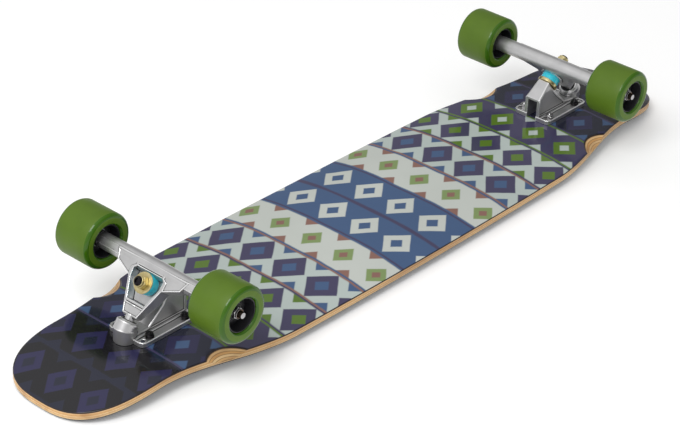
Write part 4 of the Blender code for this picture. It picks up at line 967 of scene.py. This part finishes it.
def make_baseplates():
    """Baseplates whose pivot housing is a round barrel that bends down into a round boss at a knee."""
    inner = arc_rows((0.0, PIVOT_REACH), HOUSING_BORE, math.pi / 2.0, 0.0)[1:]
    rough = HOUSING_MOUTH - HOUSING_STEP
    end = PIVOT_REACH + HOUSING_RADIUS
    rows = [(0.0, PIVOT_REACH + HOUSING_BORE)] + inner
    rows += [(HOUSING_BORE, HOUSING_MOUTH), (HOUSING_RADIUS - HOUSING_STEP - HOUSING_CHAMFER, rough)]
    rows += [(HOUSING_RADIUS, HOUSING_MOUTH + HOUSING_CHAMFER), (HOUSING_RADIUS, end), (0.0, end)]
    barrel = moved(lathe("barrel", rows), PIVOT_LINE)
    base_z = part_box("front_baseplate")[0].z
    middle = PIVOT_LINE @ Vector((0.0, 0.0, PIVOT_REACH))
    top = middle.z + HOUSING_BOSS_RADIUS
    boss_rows = [(0.0, base_z), (HOUSING_BOSS_RADIUS, base_z), (HOUSING_BOSS_RADIUS, top), (0.0, top)]
    boss = moved(lathe("boss", boss_rows), Matrix.Translation((middle.x, 0.0, 0.0)))
    upward = Vector((0.0, 0.0, 1.0))
    fold = (upward - PIVOT_LINE.to_3x3() @ upward).to_track_quat("Z", "Y").to_matrix().to_4x4()
    knee = Matrix.Translation(middle) @ fold
    reach = 2.0 * HOUSING_MOUTH
    under = moved(box_mesh((-reach, -reach, -reach), (reach, reach, 0.0)), knee)
    over = moved(box_mesh((-reach, -reach, 0.0), (reach, reach, reach)), knee)
    barrel = cut_by(barrel, [under])
    boss = cut_by(boss, [over])
    clear = HOUSING_RADIUS + 2.0 * HOUSING_STEP
    bore_rows = [(0.0, 0.0), (clear, 0.0), (clear, HOUSING_MOUTH), (HOUSING_BORE, HOUSING_MOUTH)]
    bore_rows += list(reversed(inner)) + [(0.0, PIVOT_REACH + HOUSING_BORE)]
    bore = moved(lathe("bore", bore_rows), PIVOT_LINE)
    boss = cut_by(boss, [bore])
    casting = cast_copy("front_baseplate", [barrel, boss], BASEPLATE_SMOOTH_ROUNDS)
    place_twice("front_baseplate", casting, Matrix.Identity(4))


# Kingpin stack and lock nuts
KINGPIN_BORE = 0.0050
KINGPIN_RADIUS = 0.0047
KINGPIN_PROUD = 0.0018
KINGPIN_HEAD_HALF_FLATS = 0.0064
KINGPIN_HEAD_HEIGHT = 0.0058
KINGPIN_NUT_HALF_FLATS = 0.0071
KINGPIN_NUT_COLLAR = 0.0028
THREAD_PITCH = 0.0011
THREAD_DEPTH = 0.0005
CUP_WALL = 0.0012
WASHER_THICKNESS = 0.0015
WASHER_ROUND = 0.0005
CUP_ROUND = 0.0006
BUSHING_EDGE = 0.0012
BUSHING_ROUND = 0.0009
PIVOT_LIP = 0.0008
NUT_CHAMFER_SHARE = 0.10
NUT_RING_SHARE = 0.92
NUT_CROWN_SHARE = 0.95
NUT_CROWN_DROP = 0.15
NUT_CROWN_ROUND = 0.30
INSERT_DRAFT = 0.995
INSERT_DROP = 0.20
INSERT_BORE_DROP = 0.30
INSERT_SHARE = 0.80
KINGPIN_END_SHARE = 0.86
KINGPIN_SOCKET_SHARE = 0.72
KINGPIN_SOCKET_FLOOR_SHARE = 0.62
KINGPIN_HEAD_CHAMFER = 0.0007
THREAD_RUNOUT = 0.0004


def lock_nut_rows(bore, half_flats, low, high, collar, insert):
    """A lock nut's rows, from its bore's foot round to its nylon insert, and the insert's row numbers."""
    shoulder = high - collar
    ring = half_flats * NUT_RING_SHARE
    rows = [(bore, low)] + hex_rows(half_flats, low, shoulder, half_flats * NUT_CHAMFER_SHARE)
    crown = [(ring, shoulder), (ring, high - collar * NUT_CROWN_DROP)]
    crown += [(ring * NUT_CROWN_SHARE, high), (insert, high)]
    rows += eased(crown, collar * NUT_CROWN_ROUND, closed=False)
    first = len(rows)
    rows += [(insert * INSERT_DRAFT, high - collar * INSERT_DROP), (bore, high - collar * INSERT_BORE_DROP)]
    return rows, (first, first + 1)


def make_kingpins():
    """Kingpins with their heads, threads and sockets, and their lock nuts."""
    flats = KINGPIN @ Matrix.Rotation(math.pi / 2.0, 4, "Z")
    low, high, _ = measured("front_kingpin", KINGPIN)
    nut_low, nut_high, _ = measured("front_kingpin_nut", KINGPIN)
    tip = KINGPIN_RADIUS * KINGPIN_END_SHARE
    head_top = low + KINGPIN_HEAD_HEIGHT
    socket_floor = high - KINGPIN_PROUD
    rows = [(0.0, low)] + hex_rows(KINGPIN_HEAD_HALF_FLATS, low, head_top, KINGPIN_HEAD_CHAMFER)
    rows += [(KINGPIN_RADIUS, head_top), (KINGPIN_RADIUS, nut_low)]
    rows += thread_rows(KINGPIN_RADIUS, nut_low, high - THREAD_RUNOUT, THREAD_PITCH, THREAD_DEPTH)
    rows += [(tip, high), (tip * KINGPIN_SOCKET_SHARE, high)]
    rows += [(tip * KINGPIN_SOCKET_FLOOR_SHARE, socket_floor), (0.0, socket_floor)]
    place_twice("front_kingpin", lathe("kingpin", rows, HEX_SEGMENTS), flats)
    rows, insert = lock_nut_rows(KINGPIN_BORE, KINGPIN_NUT_HALF_FLATS, nut_low, nut_high,
                                 KINGPIN_NUT_COLLAR, KINGPIN_NUT_HALF_FLATS * INSERT_SHARE)
    nut = lathe("kingpin_nut", rows, HEX_SEGMENTS, insert)
    place_twice("front_kingpin_nut", nut, KINGPIN, "black_nylon")


def make_washers():
    """Flat washers on the road side and cup washers on the board side."""
    low, high, reach = measured("front_roadside_washer", KINGPIN)
    ring = [(KINGPIN_BORE, low), (reach, low), (reach, high), (KINGPIN_BORE, high)]
    ring = lathe("roadside_washer", eased(ring, WASHER_ROUND))
    place_twice("front_roadside_washer", ring, KINGPIN)
    low, high, reach = measured("front_boardside_washer", KINGPIN)
    floor = low + WASHER_THICKNESS
    cup = [(KINGPIN_BORE, low), (reach, low), (reach, high), (reach - CUP_WALL, high)]
    cup += [(reach - CUP_WALL, floor), (KINGPIN_BORE, floor)]
    place_twice("front_boardside_washer", lathe("cup", eased(cup, CUP_ROUND)), KINGPIN)


def make_bushings():
    """Bushings, each reaching from its washer on the board to its ring on the hanger, placed unattached."""
    for node in ("front_boardside_bushing", "front_roadside_bushing"):
        low, high, reach = measured(node, KINGPIN)
        washer_end, ring_end = (low, high) if high < 0.0 else (high, low)
        rows = [(KINGPIN_BORE, low), (reach - BUSHING_EDGE, low), (reach, low + BUSHING_EDGE)]
        rows += [(reach, high - BUSHING_EDGE), (reach - BUSHING_EDGE, high), (KINGPIN_BORE, high)]
        bushing = lathe("bushing", eased(rows, BUSHING_ROUND))
        for name, matrix in ((node, KINGPIN), (rear_name(node), HALF_TURN @ KINGPIN)):
            ends = [matrix @ Vector((0.0, 0.0, height)) for height in (washer_end, ring_end)]
            place(name, bushing.copy(), matrix, bends=(name.split("_")[0] + "_hanger_body", *ends))


def make_pivot_cups():
    """Pivot cups with round bottoms and a lip at the mouth."""
    low, _, reach = measured("front_pivot_cup", PIVOT_LINE)
    lip = low + PIVOT_LIP
    rows = [(0.0, PIVOT_REACH + PIVOT_BALL_BORE)]
    rows += arc_rows((0.0, PIVOT_REACH), PIVOT_BALL_BORE, math.pi / 2.0, 0.0)[1:]
    rows += [(PIVOT_BALL_BORE, low), (reach, low), (reach, lip), (PIVOT_CUP_RADIUS, lip)]
    rows += arc_rows((0.0, PIVOT_REACH), PIVOT_CUP_RADIUS, 0.0, math.pi / 2.0)[:-1]
    rows.append((0.0, PIVOT_REACH + PIVOT_CUP_RADIUS))
    place_twice("front_pivot_cup", lathe("pivot_cup", rows), PIVOT_LINE)


# Mounting bolts
BOLT_NUT_HALF_FLATS = 0.0047
BOLT_NUT_HEIGHT = 0.0056
BOLT_NUT_COLLAR = 0.32
BOLT_INSERT_SHARE = 0.72
BOLT_PROUD = 0.0015
BOLT_SOCKET_RADIUS = 0.0018
BOLT_SOCKET_DEPTH = 0.0012
BOLT_SOCKET_DRAFT = 0.0002
BOLT_HEAD_EDGE = 0.0003
BOLT_END_SHARE = 0.8
BOLT_THREAD_START = 0.45
BOLT_THREAD_PITCH = 0.0008
BOLT_THREAD_DEPTH = 0.0003


def make_bolts():
    """Countersunk mounting bolts with their lock nuts."""
    for node in bolt_nodes():
        low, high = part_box(node)
        middle = (low + high) / 2.0
        nut_top = high.z - BOLT_PROUD
        nut_foot = nut_top - BOLT_NUT_HEIGHT
        collar = BOLT_NUT_HEIGHT * BOLT_NUT_COLLAR
        socket = low.z + BOLT_SOCKET_DEPTH
        rows = [(0.0, socket), (BOLT_SOCKET_RADIUS - BOLT_SOCKET_DRAFT, socket), (BOLT_SOCKET_RADIUS, low.z)]
        rows += [(BOLT_HEAD_RADIUS - BOLT_HEAD_EDGE, low.z), (BOLT_HEAD_RADIUS, low.z + BOLT_SOCKET_DRAFT)]
        rows += [(BOLT_RADIUS, low.z + BOLT_HEAD_RADIUS - BOLT_RADIUS), (BOLT_RADIUS, nut_foot)]
        nut, insert = lock_nut_rows(BOLT_RADIUS, BOLT_NUT_HALF_FLATS, nut_foot, nut_top, collar,
                                    BOLT_NUT_HALF_FLATS * BOLT_INSERT_SHARE)
        inked = [len(rows) - 1 + insert[0]]
        rows += nut[1:]
        rows += thread_rows(BOLT_RADIUS, nut_top - collar * BOLT_THREAD_START, high.z - BOLT_HEAD_EDGE,
                            BOLT_THREAD_PITCH, BOLT_THREAD_DEPTH)[1:]
        rows += [(BOLT_RADIUS * BOLT_END_SHARE, high.z), (0.0, high.z)]
        turn = Matrix.Translation((middle.x, middle.y, 0.0)) @ Matrix.Rotation(math.pi / 2.0, 4, "Z")
        place(node, lathe("bolt", rows, HEX_SEGMENTS, inked), turn, "black_nylon")


# Wheels
LIP_CREASE = 0.0003
LIP_FOLD = math.radians(13.0)
LIP_STEPS = 14
FACE_START = 0.0255
TYRE_BORE = 0.0205
CORE_RIM = 0.0012
CORE_RIM_DRAFT = 0.0008
CORE_COLLAR = 0.0020
CORE_COLLAR_DRAFT = 0.0004
CORE_GROOVE_DEPTH = 0.0034
CORE_SHOULDER = 0.0018
CORE_ROUND = 0.0004
BEARING_SEAT = 0.0113
BEARING_SPACING = 0.0100
BEARING_WIDTH = 0.0070
OUTER_RACE_WALL = 0.0016
SHIELD_THICKNESS = 0.0007
SEAL_LIP = 0.0003
RACE_BORE = 0.0043
RACE_NECK = 0.0005
RACE_ROUND = 0.0002
RACE_STEPS = 3
SPEED_WASHER = 0.0010
AXLE_RADIUS = 0.0040
AXLE_CHAMFER = 0.0006
AXLE_THREAD_LENGTH = 0.014
AXLE_THREAD_DEPTH = 0.0003
AXLE_NUT_HALF_FLATS = 0.00635
AXLE_NUT_COLLAR = 0.30
AXLE_INSERT_SHARE = 0.86


def hub_frame(side):
    """The wheel's frame: its centre, with +Z outboard."""
    return Matrix.Translation((HUB.x, side * HUB.y, HUB.z)) @ Matrix.Rotation(-side * math.pi / 2.0, 4, "X")


def both_ends(side_rows):
    """A ring's profile from the rows of its upper half."""
    return side_rows + [(radius, -height) for radius, height in reversed(side_rows)]


def make_wheels():
    """Tyres, cores, bearings, races and axle nuts."""
    for hand, side in (("left", 1.0), ("right", -1.0)):
        hub = hub_frame(side)
        name = "front_" + hand
        _, half, reach = measured(name + "_tyre", hub)
        _, core_half, core_radius = measured(name + "_core", hub)
        lip_centre = (reach - LIP_RADIUS, half - LIP_RADIUS)
        crease = LIP_RADIUS * math.sin(LIP_FOLD) - LIP_CREASE
        rows = [(reach, lip_centre[1] * 0.5), (reach, lip_centre[1] + crease)]
        rows += arc_rows(lip_centre, LIP_RADIUS, LIP_FOLD, math.pi / 2.0 - LIP_FOLD, LIP_STEPS)
        rows.append((lip_centre[0] + crease, half))
        mouth = [(FACE_START, half), (MOUTH_RADIUS, half)]
        mouth += [(TYRE_BORE, core_half + SEAT_GAP), (TYRE_BORE, 0.0)]
        rows += eased(mouth, MOUTH_ROUND, 5, closed=False)[:-1]
        place_twice(name + "_tyre", lathe("tyre", both_ends(rows)[::-1], TYRE_SEGMENTS), hub)
        collar_top = BEARING_SPACING / 2.0 + BEARING_WIDTH
        collar = BEARING_SEAT + CORE_COLLAR
        groove = collar_top - CORE_GROOVE_DEPTH
        rim = core_radius - CORE_RIM
        shelf = BEARING_SPACING / 2.0 - SEAT_GAP
        profile = [(core_radius, core_half), (rim, core_half), (rim - CORE_RIM_DRAFT, groove)]
        profile += [(collar + CORE_COLLAR_DRAFT, groove), (collar, collar_top), (BEARING_SEAT, collar_top)]
        profile += [(BEARING_SEAT, shelf), (BEARING_SEAT - CORE_SHOULDER, shelf)]
        place_twice(name + "_core", lathe("core", eased(both_ends(profile), CORE_ROUND, 3)), hub)
        make_bearing(name + "_outboard", hub)
        make_bearing(name + "_inboard", hub @ Matrix.Rotation(math.pi, 4, "X"))
        make_axle_nut(name + "_axle_nut", hub)


def make_bearing(name, matrix):
    """A bearing's outer race with its seal, and its inner race with the speed washer."""
    low, high, reach = measured(name + "_bearing", matrix)
    wall = reach - OUTER_RACE_WALL
    race_low, race_high, race_reach = measured(name + "_race", matrix)
    shield = race_reach + SEAT_GAP
    sunk = high - SEAL_LIP
    seal = [(wall + SEAL_LIP / 3.0, sunk), (wall - SEAL_LIP * 2.0, sunk)]
    seal += [(wall - SEAL_LIP * 3.0, high - SEAL_LIP * 0.4), (shield, high - SEAL_LIP * 0.6)]
    seal.append((shield, high - SHIELD_THICKNESS))
    steel = [(wall, high - SHIELD_THICKNESS), (wall, low), (reach, low), (reach, high)]
    ring = eased(steel + [(wall + RACE_ROUND * 2.0, high)], RACE_ROUND, RACE_STEPS, closed=False)
    rows = ring + seal
    sealed = range(len(ring), len(rows) - 1)
    place_twice(name + "_bearing", lathe("bearing", rows, inked=sealed), matrix, "black_urethane")
    washer = race_high - SPEED_WASHER
    groove = RACE_ROUND / 2.0
    rows = [(RACE_BORE, race_low), (race_reach, race_low), (race_reach, washer - groove)]
    rows += [(race_reach - RACE_NECK, washer), (race_reach, washer + groove), (race_reach, race_high)]
    rows = eased(rows + [(RACE_BORE, race_high)], RACE_ROUND, RACE_STEPS)
    # Painted shade: the race's outboard end face and bore get the dark steel.
    shaded_end = range(len(rows) - 2 * (RACE_STEPS + 1), len(rows))
    place_twice(name + "_race", lathe("race", rows, inked=shaded_end), matrix, "dark_steel")


def make_axle_nut(node, hub):
    """An axle's lock nut."""
    low, high, _ = measured(node, hub)
    rows, insert = lock_nut_rows(RACE_BORE, AXLE_NUT_HALF_FLATS, low, high, (high - low) * AXLE_NUT_COLLAR,
                                 AXLE_NUT_HALF_FLATS * AXLE_INSERT_SHARE)
    place_twice(node, lathe("axle_nut", rows, HEX_SEGMENTS, insert), hub, "amber_nylon")


def make_axles():
    """Axle rods, threaded at their ends."""
    half = measured("front_axle", AXLE_LINE)[1]
    start = half - AXLE_THREAD_LENGTH
    end = half - AXLE_CHAMFER
    tip = AXLE_RADIUS - AXLE_CHAMFER
    upper = [(AXLE_RADIUS, start)] + thread_rows(AXLE_RADIUS, start, end, THREAD_PITCH, AXLE_THREAD_DEPTH)
    upper += [(tip, half), (0.0, half)]
    lower = [(0.0, -half), (tip, -half)]
    lower += thread_rows(AXLE_RADIUS, -end, -start, THREAD_PITCH, AXLE_THREAD_DEPTH)
    # The threads get the darker steel.
    darker_rows = list(range(1, len(lower) - 1)) + list(range(len(lower), len(lower) + len(upper) - 2))
    place_twice("front_axle", lathe("axle", lower + upper, HEX_SEGMENTS, darker_rows), AXLE_LINE, "dark_steel")


# Floor, light and surround
FLOOR_REACH = 6.0
FLOOR_TONE = 0.90
FLOOR_GLOW = 0.14
KEY_PLACE = (-1.56, -0.30, 2.05)
KEY_SIZE = 1.1
KEY_ENERGY = 26.0
DIM = 0.30
# The bright areas: a direction, and the start and span of the rise toward it
OVERHEAD = ((-0.40, 0.25, 0.88), 0.15, 0.75)
OVERHEAD_GLOW = 0.62
FRONT = ((-0.65, -0.56, 0.51), 0.20, 0.80)
FRONT_GLOW = 0.22
BACKDROP_HEIGHT = 0.30
BACKDROP_GLOW = 0.40


def make_floor():
    """A pale floor, a little brighter to the camera and in reflections."""
    mesh = bpy.data.meshes.new("floor")
    signs = ((-1.0, -1.0), (1.0, -1.0), (1.0, 1.0), (-1.0, 1.0))
    mesh.from_pydata([(FLOOR_REACH * x, FLOOR_REACH * y, 0.0) for x, y in signs], [], [(0, 1, 2, 3)])
    floor = linked("floor", mesh)
    made, tree, inputs = new_material("floor")
    plug(inputs["Base Color"], (FLOOR_TONE, FLOOR_TONE, FLOOR_TONE))
    plug(inputs["Roughness"], 0.9)
    plug(inputs["Specular IOR Level"], 0.0)
    plug(inputs["Emission Color"], (1.0, 1.0, 1.0))
    path = tree.nodes.new("ShaderNodeLightPath")
    seen = Wire(tree, path.outputs["Is Camera Ray"])
    for kind in ("Is Glossy Ray", "Is Transmission Ray"):
        seen = seen.most(Wire(tree, path.outputs[kind]))
    plug(inputs["Emission Strength"], seen * FLOOR_GLOW)
    mesh.materials.append(made)


def make_lamp():
    """A broad soft lamp overhead, aimed at the middle."""
    data = bpy.data.lights.new("key", "AREA")
    data.energy = KEY_ENERGY
    data.size = KEY_SIZE
    lamp = linked("key", data)
    lamp.location = KEY_PLACE
    lamp.rotation_mode = "QUATERNION"
    lamp.rotation_quaternion = (-Vector(KEY_PLACE)).to_track_quat("-Z", "Y")


def make_surround():
    """A white backdrop all round, a broad soft brightness overhead and to one side, dimmer elsewhere."""
    world = bpy.data.worlds.new("surround")
    world.use_nodes = True
    tree = world.node_tree
    inputs = tree.nodes["Background"].inputs
    plug(inputs["Color"], (1.0, 1.0, 1.0))
    _, (x, y, z) = coordinates(tree, "Generated")
    overhead, front = [((x * aim[0] + y * aim[1] + z * aim[2] - start) / span).held()
                       for aim, start, span in (OVERHEAD, FRONT)]
    sky = overhead * overhead * (3.0 - 2.0 * overhead)
    backdrop = (1.0 - abs(z) / BACKDROP_HEIGHT).held()
    strength = DIM + OVERHEAD_GLOW * sky + FRONT_GLOW * front + BACKDROP_GLOW * backdrop
    plug(inputs["Strength"], strength)
    bpy.context.scene.world = world


make_deck()
make_hangers()
make_baseplates()
make_kingpins()
make_washers()
make_bushings()
make_pivot_cups()
make_bolts()
make_wheels()
make_axles()
make_floor()
make_surround()
make_lamp()
bpy.context.scene.view_settings.view_transform = "Standard"
